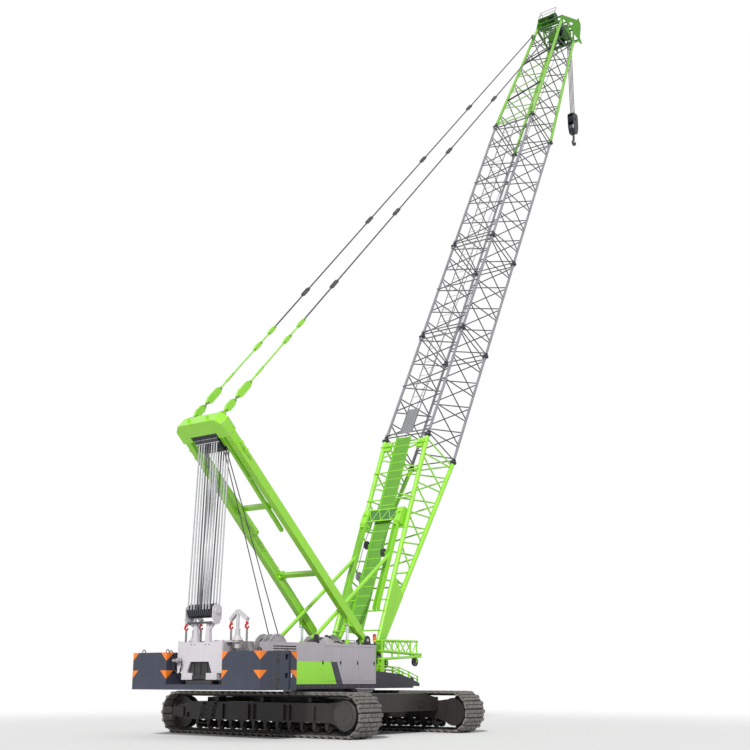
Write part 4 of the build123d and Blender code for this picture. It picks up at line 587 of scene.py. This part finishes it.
def makeTracks():
    # one shoe is a plate with two rows of cleats outside; two chain links and their pin lie inside it
    pitch = (4 * track["wheelY"] + 2 * math.pi * track["radius"]) / track["shoes"]
    reach = pitch / 2 - 0.03
    shoe = [block((-track["half"], -reach, 0.05), (track["half"], reach, 0.095), 0.012)]
    for row, (low, high) in zip(padRows, ((-reach, -0.01), (0.01, reach))):
        shoe += [block((x0, low, 0.0), (x1, high, 0.062), 0.014) for x0, x1 in row]
    chain = [block((-0.57, -pitch / 2 - 0.002, 0.07), (0.57, pitch / 2 + 0.002, 0.088), 0.001)]
    for x in (-0.12, 0.12):
        chain.append(block((x - 0.035, -reach - 0.045, 0.09), (x + 0.035, reach + 0.045, 0.168), 0.014))
        chain += [bolts([(x + shift, y, 0.166) for shift in (-0.09, 0.09) for y in (-0.07, 0.07)], upward,
                        0.02, 0.001)]
    chain.append(rod((-0.17, -pitch / 2, 0.125), (0.17, -pitch / 2, 0.125), 0.028, 10))
    along = (np.arange(track["shoes"]) + 0.5) * pitch
    for name, side in trackSides:
        places = aroundTrack(along, side)
        shoes = piece("shoes_" + name, copies(joined(*shoe), *places), "shoeSteel", "undercarriage")
        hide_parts("track_" + name)
        piece("chain_" + name, copies(joined(*chain), *places), "chainDark", "undercarriage")


drive = {"at": (-3.965, 0.725), "face": 0.4, "ribs": (-2.6, -1.5, -1.25, 0.15, 0.4, 1.65),
         "dome": ((0.0, 0.47), (0.085, 0.47), (0.1, 0.45), (0.104, 0.36), (0.118, 0.352), (0.124, 0.14),
                  (0.14, 0.13), (0.145, 0.07))}


def makeTrackDetails():
    # a domed cover with two rings of bolts on each travel drive, and bolts on the frames and the slewing ring
    for name, side in trackSides:
        face, axis = side * (track["gauge"] / 2 + drive["face"]), side * forward
        cover = lathe(drive["dome"], (face + side * 0.02, *drive["at"]), axis, 56)
        piece("drive_cover_" + name, cover, "coverDark", "undercarriage")
        heads = [bolts(ringPlaces(count, radius, (face + side * out, *drive["at"]), sideways, upward), axis,
                       0.017, 0.012) for count, radius, out in ((20, 0.42, 0.12), (8, 0.105, 0.158))]
        places = [(face, y + shift, z) for y in drive["ribs"] for shift in (-0.09, 0.09)
                  for z in (0.58, 0.78, 0.98)]
        heads.append(bolts(places, axis, 0.015, 0.011))
        places = [(side * track["gauge"] / 2 + x, y, 1.1) for x in (-0.36, 0.36)
                  for y in np.arange(-3.0, 3.1, 0.5)]
        heads.append(bolts(places, upward, 0.016, 0.012))
        piece("frame_bolts_" + name, heads, "frameBolt", "undercarriage")
    places = ringPlaces(48, 1.2317, (0.0, 0.0, 1.372), sideways, forward)
    piece("ring_bolts_lower", bolts(places, upward, 0.022, 0.02), "frameBolt", "undercarriage")


stack = {"rear": -6.45, "front": -4.75, "inner": 1.31, "outer": 2.985, "tops": (2.148, 2.73),
         "wide": 0.28, "wideSide": 0.32, "deep": 0.27, "thick": 0.004, "pocket": -5.64}


def makeWarningTriangles():
    # a half triangle lies on every face beside each upright edge, so that two make one round the corner
    parts = []
    for top in stack["tops"]:
        for side in (-1, 1):
            for x, way in ((stack["rear"], 1), (stack["front"], -1)):
                for y, inward in ((side * stack["outer"], -side), (side * stack["inner"], side)):
                    thick = stack["thick"] * way * inward
                    for wide, across, out in ((stack["wide"], inward * sideways, -thick),
                                              (stack["wideSide"], way * forward, thick)):
                        outline = ((0.0, 0.0), (wide, 0.0), (0.0, -stack["deep"]))
                        parts.append(prism(outline, (x, y, top), across, upward, out))
    piece("warning_triangles", parts, "signalOrange", smooth=0)


def makeWeightDetails():
    # lifting eyes on the top, pockets as dark plates of painted shade with trunnions down the outer side, and
    # a mark beside them
    dark, steel, pale = [], [], []
    for side in (-1, 1):
        face, x = side * stack["outer"], stack["pocket"]
        for top in (2.66, 2.08, 1.7):
            low = max(top - 0.34, 1.56)
            # painted shade: a dark plate on the face stands for the pocket's hollow
            dark.append(block((x - 0.08, face - 0.006, low), (x + 0.08, face + 0.006, top), 0.005))
            place = (x, face, (low + top) / 2)
            steel.append(knob(place, side * sideways, 0.062, 0.012, 0.02, 0.045, 20))
            steel.append(knob(place, side * sideways, 0.03, 0.03, 0.036, 0.02))
        pale.append(block((-5.02, face - 0.003, 1.92), (-4.97, face + 0.005, 2.06), 0.002))
        steel += [liftingEye((x, y, 2.72), 0.07, 0.11, 0.016, 10, 13)
                  for x in (-6.2, -4.98) for y in (side * 1.55, side * 2.74)]
    piece("weight_pocket_shade", dark, "trimBlack")
    piece("weight_irons", steel, "frameBolt")
    piece("weight_marks", pale, "signalWhite", smooth=0)


def straightRope(start, end, radius, rows, lay=0.0, sides=8):
    # a circle carried in a straight run; with a lay it swells once for each of six strands and turns evenly
    angle = np.linspace(0.0, lay, rows)[:, None]
    cosine, sine = np.cos(angle), np.sin(angle)
    strands = np.cos(6 * np.arange(sides) / sides * 2 * np.pi) if lay else np.zeros(sides)
    first, second = (ring(radius, sides) * (1 + 0.12 * strands)[:, None]).T
    profile = np.stack((first * cosine - second * sine, first * sine + second * cosine), -1)
    return carried(profile, np.linspace(start, end, rows), sideways)


reeving = {"lowerRadius": 0.225, "upperRadius": 0.295, "lines": 8, "reach": 0.42, "lowerReach": 0.5,
           "rope": 0.025, "shaded": (6, 7, 8, 13), "haul": 0.018,
           "hauls": (((-3.3, -0.40, 3.19), (9.15, -0.40, 0.16)), ((-3.15, -0.72, 3.17), (9.25, -0.52, 0.12)))}


def blendedRopes(name, ropes, finish, end):
    # ropes that run from the superstructure to the mast: one piece on no body, its place baked into its
    # points
    made = piece(name, ropes, finish, None)
    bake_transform(made)


def makeReeving():
    # two runs from every sheave of the lower block up to its mate in the mast's head
    head = spot(mastSheaves, 0.0, 0.0, mastAt)
    lowX, lowZ = hoistAt
    lines = {"bright": [], "shaded": []}
    for index, part in enumerate(np.repeat(np.linspace(-1, 1, reeving["lines"]), 2)):
        way = 2 * (index % 2) - 1
        low = (lowX + way * reeving["lowerRadius"], part * reeving["lowerReach"], lowZ + 0.04)
        high = (head[0] + way * reeving["upperRadius"], part * reeving["reach"], head[2] - 0.03)
        # painted shade: the lines listed as shaded are the same rope, given the dark grey rope finish
        kind = "shaded" if index in reeving["shaded"] else "bright"
        lines[kind].append(straightRope(low, high, reeving["rope"], 30))
    start, end = (lowX, 0.0, lowZ + 0.3), head - 0.3 * upward
    for kind, finish in (("bright", "ropeSteel"), ("shaded", "ropeGrey")):
        blendedRopes("hoist_reeving_" + kind, lines[kind], finish, end)
    hauls = [straightRope(low, spot(*high, mastAt), reeving["haul"], 30) for low, high in reeving["hauls"]]
    blendedRopes("winch_hauls", hauls, "ropeGreased", spot(8.8, -0.5, 0.2, mastAt))


woundRope = {"radius": 0.33, "rope": 0.014}


def wound(centre, low, high, sides=48):
    # a drum's layer of rope: the radius swells as |cos| of the place along the drum less the turn about it
    rope = woundRope["rope"]
    along = np.linspace(low, high, int((high - low) / (2 * rope) * 6) + 1)[:, None]
    angle = np.arange(sides) / sides * 2 * np.pi
    swell = woundRope["radius"] + rope * np.abs(np.cos((along - low) / (2 * rope) * np.pi - angle / 2))
    x, z = centre[0] + swell * np.sin(angle), centre[1] + swell * np.cos(angle)
    return surface(np.stack((x, np.broadcast_to(along, x.shape), z), -1))


# each drum's x and z, the rope's layers, and the flanges' outer faces with the way they look
drums = {"rear": ((-3.4, 2.9), ((-0.835, -0.55), (-0.51, -0.225)), ((-0.88, -1), (-0.18, 1))),
         "front": ((-0.1, 2.95), ((-0.515, 0.515),), ((-0.56, -1), (0.56, 1)))}


def makeWoundRope():
    for name, (centre, layers, _) in drums.items():
        piece("wound_rope_" + name, [wound(centre, low, high) for low, high in layers],
              "ropeGreased", "winch_drum_" + name, smooth=50)


falls = {"apart": 0.08, "rope": 0.021, "rows": 90, "lay": 60.0}


def makeHoistRopes():
    # four stranded falls from the head's sheaves to the block
    (x0, _, z0), (x1, _, z1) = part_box("hoist_ropes")
    x, ropes = (x0 + x1) / 2, []
    for y in (falls["apart"] * (index - 1.5) for index in range(4)):
        ropes.append(straightRope((x, y, z0), (x, y, z1), falls["rope"], falls["rows"], falls["lay"], 18))
    made = piece("stranded_falls", ropes, "ropeGrey", "hoist", smooth=60)
    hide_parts("hoist_ropes")


boomRopes = {"rope": 0.013, "runs": (((3.25, 0.47, 0.75), (4.6, 0.47, 0.89), 4),
                                     ((4.6, 0.47, 0.89), (39.8, 0.1, -0.46), 24),
                                     ((4.21, -0.47, 0.86), (39.8, -0.1, -0.46), 24))}


def makeBoomRopes():
    # the hoist rope leaves the front winch, goes over the guide sheaves and up to the head
    ropes = [straightRope(low, high, boomRopes["rope"], rows) for low, high, rows in boomRopes["runs"]]
    raisedPiece("boom_ropes", ropes, "ropeGreased", "boom")


house = {"face": -1.70, "latchZ": 2.42, "doorEdges": (-1.935, -0.985, -0.035), "top": 3.07,
         "latches": ((-1.99, "superstructure"), (-1.04, "housing_door_1"), (-0.09, "housing_door_2"),
                     (0.86, "housing_door_3"))}


def makeLatches():
    # a dark plate, its pull and two screws on the fixed panel and each door, and the hinges' barrels
    latch = [block((-0.032, -0.008, -0.062), (0.032, 0.006, 0.062), 0.004),
             block((-0.014, -0.022, -0.03), (0.014, -0.004, 0.03), 0.005)]
    latch += [rod((0.0, -0.004, z), (0.0, -0.013, z), 0.008, 6) for z in (-0.048, 0.048)]
    for index, (x, body) in enumerate(house["latches"]):
        place = (x, house["face"] - 0.002, house["latchZ"])
        piece("latch_%d" % index, copies(joined(*latch), [place]), "trimBlack", body)
    places = [(x - 0.012, house["face"], z) for x in house["doorEdges"] for z in (1.98, 2.78)]
    piece("door_hinges", copies(rod((0.0, -0.006, -0.06), (0.0, -0.006, 0.06), 0.009, 10), places), "cabGrey")


def makeRoofs():
    # lidded hatches and lifting eyes on the housings' roofs
    top = house["top"]
    piece("roof_lids", [block((x - 0.3, y - 0.09, top), (x + 0.3, y + 0.09, top + 0.03), 0.01)
                        for y in (-1.5, 1.5) for x in (-2.5, -1.2)], "cabGrey")
    piece("roof_eyes", [liftingEye((x, y, top - 0.01), 0.05, 0.08, 0.012)
                        for y in (-1.38, 1.38) for x in (-4.4, 0.5)], "boltSteel")


tail = {"face": -6.2, "edge": 0.98, "pipe": 2.46}


def makeTail():
    # painted shade: a dark panel behind the window stands for its unlit inside; fittings left on the rear
    # plate, bolts along its lower and side edges
    dark = blocks(0.004, ((-6.12, -0.59, 1.83), (-6.09, 0.59, 2.46)))
    dark += blocks(0.005, *(((-6.15, y - 0.02, 1.9), (-6.11, y + 0.02, 2.42)) for y in (-0.3, 0.02, 0.31)))
    dark += blocks(0.01, ((-6.2, -0.33, 1.86), (-6.12, 0.33, 1.99)))
    piece("tail_window_shade", dark, "trimBlack")
    valve = lathe(((0, 0.03), (0.03, 0.045), (0.07, 0.045), (0.08, 0.075), (0.17, 0.085), (0.24, 0.075),
                   (0.26, 0.05), (0.33, 0.05), (0.34, 0.06), (0.4, 0.06), (0.42, 0.03)),
                  (-6.29, 0.76, tail["pipe"]), sideways, 20)
    flange = lathe(((0, 0.09), (0.02, 0.09), (0.03, 0.06), (0.07, 0.05)), (tail["face"], 0.9, tail["pipe"]),
                   -forward, 20)
    piece("tail_valve", [valve, flange], "boltSteel")
    runs = (((-6.29, 0.78, tail["pipe"]), (-6.34, 0.6, 2.36), (-6.26, 0.86, 2.2), (-6.17, 0.95, 2.02)),
            ((-6.29, 1.16, tail["pipe"]), (-6.33, 1.2, 2.3), (-6.25, 1.15, 2.2), (-6.15, 1.08, 2.05)))
    piece("tail_hoses", [hose(run, 0.022) for run in runs], "hoseBlack")
    places = [(tail["face"], y, 2.11) for y in np.linspace(-tail["edge"], tail["edge"], 9) if abs(y) > 0.66]
    places += [(tail["face"], y, z) for y in (-tail["edge"], tail["edge"]) for z in (2.35, 2.6, 2.85)]
    piece("tail_bolts", bolts(places, -forward, 0.02, 0.014), "boltSteel")


def makeUnderDeck():
    # the pale bracket under the deck's right edge, its three ribs and lower plate, and bolts on both edges
    parts = blocks(0.008, ((0.02, -1.62, 1.47), (1.02, -1.42, 1.53)))
    parts += blocks(0.01, ((0.1, -1.58, 1.40), (0.94, -1.46, 1.475)))
    parts += blocks(0.006, *(((x - 0.03, -1.6, 1.40), (x + 0.03, -1.44, 1.53)) for x in (0.2, 0.52, 0.84)))
    piece("deck_bracket", parts, "cabGrey")
    piece("deck_bolts", [rod((x, side * 1.69, 1.62), (x, side * 1.706, 1.62), 0.014, 6) for side in (-1, 1)
                         for x in np.arange(-4.4, 0.9, 0.4)], "boltSteel")


def makeWinchSide():
    # bolts round the drums' flanges, and hoses and a valve block before the front winch
    for name, ((x, z), _, flanges) in drums.items():
        heads = [bolts(ringPlaces(12, 0.43, (x, y, z), forward, upward, 0), way * sideways, 0.018, 0.012)
                 for y, way in flanges]
        piece("flange_bolts_" + name, heads, "boltSteel", "winch_drum_" + name)
    boxes = [block((-1.3, -1.28, 3.07), (-0.92, -0.9, 3.2), 0.012),
             block((-1.26, -1.22, 3.2), (-0.98, -0.98, 3.26), 0.01)]
    boxes += [rod((x, -1.1, 3.25), (x, -1.1, 3.31), 0.028, 12) for x in (-1.2, -1.12, -1.04)]
    piece("valve_block", boxes, "winchGrey")
    hoses = [hose(((-1.2 + index * 0.08, -1.1, 3.3), (-1.16 + index * 0.08, -1.06, 3.44 - 0.03 * index),
                   (-0.8 - index * 0.05, -1.04, 3.4), (-0.62 - index * 0.06, -1.02, 3.0)), 0.024)
             for index in range(3)]
    hoses += [hose(((-0.92, -1.22 + 0.1 * index, 3.14), (-0.7, -1.22 + 0.08 * index, 3.16),
                    (-0.62, -1.25, 3.2), (-0.4, -1.3 + 0.08 * index, 3.05)), 0.022) for index in range(2)]
    piece("winch_hoses", hoses, "hoseBlack")


mast = {"footHalf": 1.11, "headHalf": 0.98, "length": 10.2, "guard": 0.62, "crossTubes": (3.32, 6.53),
        "rungs": (3.75, 4.15, 4.55, 4.95, 5.35, 5.75), "strips": (-0.42, -0.14, 0.14, 0.42)}


def legY(along):
    # the legs' middles draw together evenly from the foot to the head
    return mast["footHalf"] - (mast["footHalf"] - mast["headHalf"]) * along / mast["length"]


def makeMastDetails():
    # the guard in the head's notch with its pale strips, rungs on one leg, pegs, lugs, collars and bolts
    guard = mast["guard"]
    plate = block((9.80, -guard, 0.02), (9.975, guard, 0.2), 0.006)
    raisedPiece("sheave_guard", [plate], "sheaveDark", "mast")
    strips = blocks(0.002, *(((9.792, y - 0.125, 0.2), (9.81, y + 0.125, 0.232)) for y in mast["strips"]),
                    ((9.655, -0.56, 0.236), (9.675, 0.56, 0.256)))
    raisedPiece("guard_strips", strips, "signalWhite", "mast", smooth=0)
    irons, heads = [], []
    for along in mast["rungs"]:
        y = legY(along) - 0.12
        path = ((along, y + 0.02, -0.05), (along, y - 0.15, -0.05), (along, y - 0.18, -0.035),
                (along + 0.02, y - 0.18, 0.0), (along, y - 0.18, 0.035), (along, y - 0.15, 0.05),
                (along, y + 0.02, 0.05))
        irons.append(carried(ring(0.011, 8), path, forward))
    irons += [lathe(((0, 0.05), (0.02, 0.062), (0.06, 0.062), (0.08, 0.04)),
                    (along, side * (mast["footHalf"] + 0.1), 0.0), side * sideways, 16)
              for along in (9.0, 9.35) for side in (-1, 1)]
    lug = ((10.5, 0.09), (10.58, 0.07), (10.63, 0.02), (10.63, -0.02), (10.58, -0.07), (10.5, -0.09))
    irons += [prism(lug, (0.0, y, 0.05), forward, upward, 0.03) for y in (-0.45, 0.45)]
    irons += [knob((along, side * (legY(along) - 0.125), 0.0), -side * sideways, 0.1, 0.02, 0.05, 0.075, 20)
              for along in mast["crossTubes"] for side in (-1, 1)]
    raisedPiece("mast_irons", irons, "mastGreen", "mast")
    for side in (-1, 1):
        places = [(along, side * 1.112, n) for along in (9.9, 10.1, 10.3) for n in (-0.16, 0.16)]
        heads.append(bolts(places, side * sideways, 0.022, 0.014))
        heads.append(knob((0.0, side * 1.23, 0.0), side * sideways, 0.075, 0.03, 0.04, 0.05, 20))
    raisedPiece("mast_bolts", heads, "boltSteel", "mast")


strand = {"y": 0.75, "headAt": (10.34, -0.415), "tipAt": (38.60, 1.0), "joints": (8.3, 14.3, 20.3, 26.3),
          "paddles": ((0.12, 0.82, 0.13), (0.92, 1.9, 0.13), (4.3, 4.86, 0.075), (5.4, 5.96, 0.075)),
          "sleeves": ((1.8, 5.5, 0.033), (2.28, 2.74, 0.047))}


def linkOutline(start, end, half, neck, shoulder):
    # a plate (across, along) that widens from its neck to its full half width over the shoulder, and back
    right = ((neck, start), (half, start + shoulder), (half, end - shoulder), (neck, end))
    return np.array([(-x, along) for x, along in right] + list(right[::-1]))


def makePendantLinks():
    # each strand's first links are wide plates that narrow to their eyes; each joint has two pinned plates
    links, fittings = [], []
    for side in (-1, 1):
        low = spot(strand["headAt"][0], side * strand["y"], strand["headAt"][1], mastAt)
        high = spot(strand["tipAt"][0], side * strand["y"], strand["tipAt"][1], boomAt)
        run = (high - low) / np.linalg.norm(high - low)
        over = np.cross(sideways, run)

        def pins(middle, shifts, half, radius):
            reach, places = half * sideways, [middle + run * shift for shift in shifts]
            return [rod(place - reach, place + reach, radius) for place in places]

        for start, end, half in strand["paddles"]:
            outline = linkOutline(start, end, half, 0.045, 0.2)
            links.append(prism(outline, low - 0.048 * sideways, over, run, -0.096))
            fittings += pins(low, (start + 0.06, end - 0.06), 0.062, 0.03)
        links += [rod(low + run * start, low + run * end, radius) for start, end, radius in strand["sleeves"]]
        for along in strand["joints"]:
            middle = low + run * (along + 0.21)
            outline = linkOutline(-0.29, 0.29, 0.066, 0.045, 0.09)
            fittings += [prism(outline, middle + y * sideways, over, run, -0.016) for y in (-0.036, 0.052)]
            fittings += pins(middle, (-0.2, 0.2), 0.07, 0.032)
    piece("pendant_paddles", links, "linkGreen", "boom")
    piece("pendant_joints", fittings, "ropeGrey", "boom")


joints = (9.69, 15.675, 21.605, tipStart)


def baseHalf(along):
    # the chords part evenly from 0.045 at the foot pin to 1.03 at the base's upper end; the web adds 0.05
    return 0.095 + (boomHalf[1] - 0.045) * along / joints[0]


def makeBoomDetails():
    # outer webs at the foot, clamps round the chords' joints and dark cross pipes in the tip
    webs, clamps, pipes, heads = [], [], [], []
    outline = ((0.16, -0.11), (0.6, -baseHalf(0.6)), (2.85, -baseHalf(2.85)), (3.28, baseHalf(3.28)),
               (0.6, baseHalf(0.6)), (0.16, 0.11))
    profile = ((-0.13, 0.03), (-0.13, 0.075), (-0.1, 0.09), (0.1, 0.09), (0.13, 0.075), (0.13, 0.03))
    for side in (-1, 1):
        y = side * boomHalf[0]
        webs.append(prism(outline, (0.0, side * 1.2, 0.0), forward, upward, 0.014 * -side))
        places = [(along, side * 1.21, n) for along in (0.9, 1.4, 1.9, 2.4) for n in (-0.06, 0.06)]
        heads.append(bolts(places, side * sideways, 0.016, 0.01))
        for along in joints:
            for n in (-boomHalf[1], boomHalf[1]):
                clamps.append(lathe(profile, (along, y, n), sideways, 16))
                low, high = (along + 0.1, y - 0.075, n - 0.075), (along + 0.2, y + 0.075, n + 0.075)
                clamps.append(block(low, high, 0.02))
    for low, high in ((32.85, 33.75), (36.1, 37.0)):
        (lowY, lowN), (highY, highN) = (np.subtract(boomHalf, np.multiply(tipTaper, along - tipStart))
                                        for along in (low, high))
        pipes.append(rod((low, lowY, lowN), (high, -highY, highN), 0.045, 12))
    raisedPiece("foot_webs", webs, "linkGreen", "boom", smooth=0)
    raisedPiece("foot_bolts", heads, "boltSteel", "boom")
    raisedPiece("chord_clamps", clamps, "sheaveDark", "boom")
    raisedPiece("tip_pipes", pipes, "sheaveDark", "boom")


cabin = {"inner": 1.45, "outer": 2.55, "low": 2.18, "high": 3.14, "glass": 0.006, "seal": 0.013}


def frontX(z):
    # the front wall leans out up to 2.12 and in above it: two straight lines in z
    return 3.92 + 0.5 * (z - 1.56) if z < 2.12 else 4.2 - 0.1351 * (z - 2.12)


def pane(corners, facing):
    # a thin closed sheet: the corners, and the same corners moved by the glass's thickness
    corners = np.asarray(corners, float)
    return outwards(surface(np.stack((corners, corners + facing * cabin["glass"]))))


def seal(corners):
    # rubber rods from each corner to the next
    ends = zip(corners, np.roll(corners, -1, 0))
    return joined(*[rod(first, second, cabin["seal"], 8) for first, second in ends])


def upright(x0, x1, z0, z1, y):
    return ((x0, y, z0), (x1, y, z0), (x1, y, z1), (x0, y, z1))


def makeCab():
    # every opening gets its pane and its rubber seal; the door's pair rides on the door
    low, high = cabin["low"], cabin["high"]
    inside, outside = cabin["inner"] + 0.02, cabin["outer"] - 0.026
    fixed = []
    for z0, z1 in ((1.69, 2.09), (low, high)):
        edges = ((1.54, z0), (2.46, z0), (2.46, z1), (1.54, z1))
        fixed.append(([(frontX(z) - 0.025, y, z) for y, z in edges], forward))
    fixed += [(((3.37, y, low), (4.11, y, low), (3.975, y, high), (3.37, y, high)), way * sideways)
              for y, way in ((inside, -1), (outside, 1))]
    fixed.append((upright(2.47, 3.23, low, high, inside), -sideways))
    fixed.append((((2.372, 1.6, 2.48), (2.372, 2.4, 2.48), (2.372, 2.4, high), (2.372, 1.6, high)), -forward))
    hung = [(upright(2.53, 3.16, z0, z1, outside), sideways) for z0, z1 in ((1.76, 2.09), (low, 3.12))]
    for name, body, panes in (("cab", "superstructure", fixed), ("door", "cab_door", hung)):
        piece(name + "_panes", [pane(*each) for each in panes], "paneGlass", body, smooth=0)
        piece(name + "_seals", [seal(each[0]) for each in panes], "trimBlack", body)


def makeCabFittings():
    # a handle on the door, and wiper, mirrors, hand rails and roof rails on the cab
    handle = [hose(((3.08, 2.55, 2.05), (3.08, 2.62, 2.05), (3.08, 2.62, 2.13), (3.08, 2.55, 2.13)), 0.012),
              knob((3.08, 2.55, 1.98), sideways, 0.03, 0.012, 0.02, 0.02)]
    piece("door_handle", handle, "trimBlack", "cab_door")
    wiper = [rod((4.205, 2.1, 2.14), (frontX(2.75) + 0.02, 1.86, 2.75), 0.009, 8),
             rod((frontX(2.5) + 0.012, 1.78, 2.5), (frontX(3.05) + 0.012, 1.94, 3.05), 0.012, 8),
             knob((4.19, 2.1, 2.14), forward, 0.03, 0.02, 0.03, 0.018, 12)]
    piece("cab_wiper", wiper, "trimBlack")
    mirrors, glasses = [], []
    for y, way in ((cabin["outer"], 1), (cabin["inner"], -1)):
        mirrors.append(hose(((4.0, y, 3.0), (4.2, y + way * 0.1, 3.05), (4.3, y + way * 0.22, 3.0),
                             (4.3, y + way * 0.24, 2.7)), 0.012))
        low, high = (4.27, y + way * 0.24 - 0.09, 2.42), (4.32, y + way * 0.24 + 0.09, 2.78)
        mirrors.append(block(low, high, 0.018))
        glasses.append(block((low[0] - 0.003, low[1] + 0.02, low[2] + 0.03),
                             (low[0] + 0.003, high[1] - 0.02, high[2] - 0.03), 0.001))
    piece("cab_mirrors", mirrors, "trimBlack")
    piece("mirror_glass", glasses, "mirrorGlass", smooth=0)
    rails = [hose(((x, 2.56, 1.7), (x, 2.68, 1.72), (x, 2.68, 2.6), (x, 2.56, 2.62)), 0.014, 10, 30)
             for x in (3.34, 2.42)]
    for y in (1.6, 2.4):
        rails.append(rod((2.5, y, 3.35), (3.8, y, 3.35), 0.014, 8))
        rails += [rod((x, y, 3.28), (x, y, 3.355), 0.014, 8) for x in (2.52, 3.15, 3.78)]
    piece("cab_rails", rails, "deckDark")


lampPlaces = ((3.98, 1.62, 3.34), (3.98, 2.38, 3.34), (0.9, 1.45, 3.14), (0.9, -1.3, 3.14),
              (3.5, -1.45, 1.86))


def makeLamps():
    # round work lamps: a dished case on a stalk and its lens
    case = lathe(((-0.07, 0.02), (-0.06, 0.05), (0.0, 0.078), (0.02, 0.082), (0.02, 0.066), (0.008, 0.06)),
                 (0, 0, 0), forward, 24)
    stalk = rod((-0.02, 0.0, -0.11), (-0.02, 0.0, -0.05), 0.012, 8)
    lens = lathe(((0.008, 0.064), (0.014, 0.05), (0.018, 0.02)), (0, 0, 0), forward, 24)
    piece("lamp_cases", copies(joined(case, stalk), lampPlaces), "trimBlack")
    piece("lamp_lenses", copies(lens, lampPlaces), "lensWhite")


def makeCabInside():
    # a console, a floor mat, three pedals, two levers and a screen on its post
    parts = [block((3.72, 1.62, 1.61), (3.95, 2.38, 1.66), 0.01),
             block((2.75, 1.66, 1.605), (3.68, 2.34, 1.622), 0.006)]
    parts += blocks(0.008, *(((3.55, y - 0.05, 1.66), (3.72, y + 0.05, 1.69)) for y in (1.86, 2.0, 2.14)))
    parts += [rod((3.7, y, 1.67), (3.62, y, 1.9), 0.012, 8) for y in (1.86, 2.14)]
    parts += [block((3.78, 2.3, 2.2), (3.82, 2.46, 2.44), 0.008),
              rod((3.8, 2.42, 1.66), (3.8, 2.42, 2.22), 0.016, 8)]
    piece("cab_controls", parts, "seatBlack")


studio = {"floorRadius": 160.0, "floorTone": 0.9, "floorZ": -0.004, "fadeStart": 13.0, "fadeEnd": 34.0,
          "sky": 0.42, "keyStrength": 2.6, "keyAngle": 8.0, "keyFrom": (-0.78, -0.42, 0.62)}
cameraAt = {"place": (-33.043, -28.558, 1.918), "pitch": 14.74, "heading": 38.339, "lens": 55.197}


def whiteWhenSeen(tree, kind, shader, output, fade=None):
    # the camera, mirrors and glass meet plain white, and everything else meets the given shader
    path = addNode(tree, "ShaderNodeLightPath").outputs
    rays = ("Is Camera Ray", "Is Transmission Ray", "Is Glossy Ray")
    camera, through, mirror = (Field(tree, path[ray]) for ray in rays)
    seen = camera.calc("MAXIMUM", through).calc("MAXIMUM", mirror)
    factor = fade * seen if fade else seen
    white = addNode(tree, kind, {"Color": (1, 1, 1), "Strength": 1.0})
    mix = addNode(tree, "ShaderNodeMixShader", {0: factor, 1: shader.outputs[0], 2: white.outputs[0]})
    feed(tree, tree.nodes[output], {"Surface": mix.outputs[0]})


def makeFloor():
    # a flat disc: rings of points at growing radii, and a fan about the middle; it fades to white far out
    radii = np.array((4.0, 12.0, 30.0, studio["floorRadius"]))
    flat = radii[:, None, None] * ring(1.0, 96)
    grid = np.concatenate((flat, np.full((4, 96, 1), studio["floorZ"])), -1)
    points, quads, _ = surface(grid, capped=False)
    number = np.arange(96)
    fan = np.stack((number, np.roll(number, -1), np.full(96, len(points))), -1)
    tree, shader, place = newFinish("floorPale", 0.9, shine=0.0)
    feed(tree, shader, {"Base Color": (studio["floorTone"],) * 3})
    reach = addNode(tree, "ShaderNodeVectorMath", {0: place}, operation="LENGTH").outputs["Value"]
    fade = ramp(Field(tree, reach), studio["fadeStart"], studio["fadeEnd"], kind="SMOOTHSTEP")
    whiteWhenSeen(tree, "ShaderNodeEmission", shader, "Material Output", fade)
    middle = (0.0, 0.0, studio["floorZ"])
    piece("floor", (np.vstack((points, middle)), quads, fan), "floorPale", None, smooth=0)


def makeLight():
    world = bpy.data.worlds.new("studio")
    bpy.context.scene.world = world
    world.use_nodes = True
    sky = world.node_tree.nodes["Background"]
    feed(world.node_tree, sky, {"Color": (1, 1, 1), "Strength": studio["sky"]})
    whiteWhenSeen(world.node_tree, "ShaderNodeBackground", sky, "World Output")
    lamp = bpy.data.lights.new("key", "SUN")
    lamp.energy = studio["keyStrength"]
    lamp.angle = math.radians(studio["keyAngle"])
    key = bpy.data.objects.new("key", lamp)
    key.rotation_euler = Vector(studio["keyFrom"]).to_track_quat("Z", "Y").to_euler()
    bpy.context.scene.collection.objects.link(key)


def makeCamera():
    lens = bpy.data.cameras.new("camera")
    lens.lens = cameraAt["lens"]
    lens.sensor_width = 36.0
    lens.clip_end = 500.0
    camera = bpy.data.objects.new("camera", lens)
    camera.location = cameraAt["place"]
    camera.rotation_euler = (math.radians(90 + cameraAt["pitch"]), 0, math.radians(cameraAt["heading"] - 90))
    bpy.context.scene.collection.objects.link(camera)
    bpy.context.scene.camera = camera


stages = {
    "tracks and counterweight": (makeTracks, makeTrackDetails, makeWarningTriangles, makeWeightDetails),
    "ropes": (makeReeving, makeWoundRope, makeHoistRopes, makeBoomRopes),
    "superstructure fittings": (makeLatches, makeRoofs, makeTail, makeUnderDeck, makeWinchSide),
    "mast and boom fittings": (makeMastDetails, makePendantLinks, makeBoomDetails),
    "cab and lamps": (makeCab, makeCabFittings, makeLamps, makeCabInside),
    "floor, light and camera": (makeFloor, makeLight, makeCamera),
}
for stage, makers in stages.items():
    for maker in makers:
        maker()
    print(stage)
bpy.context.scene.view_settings.view_transform = "Standard"
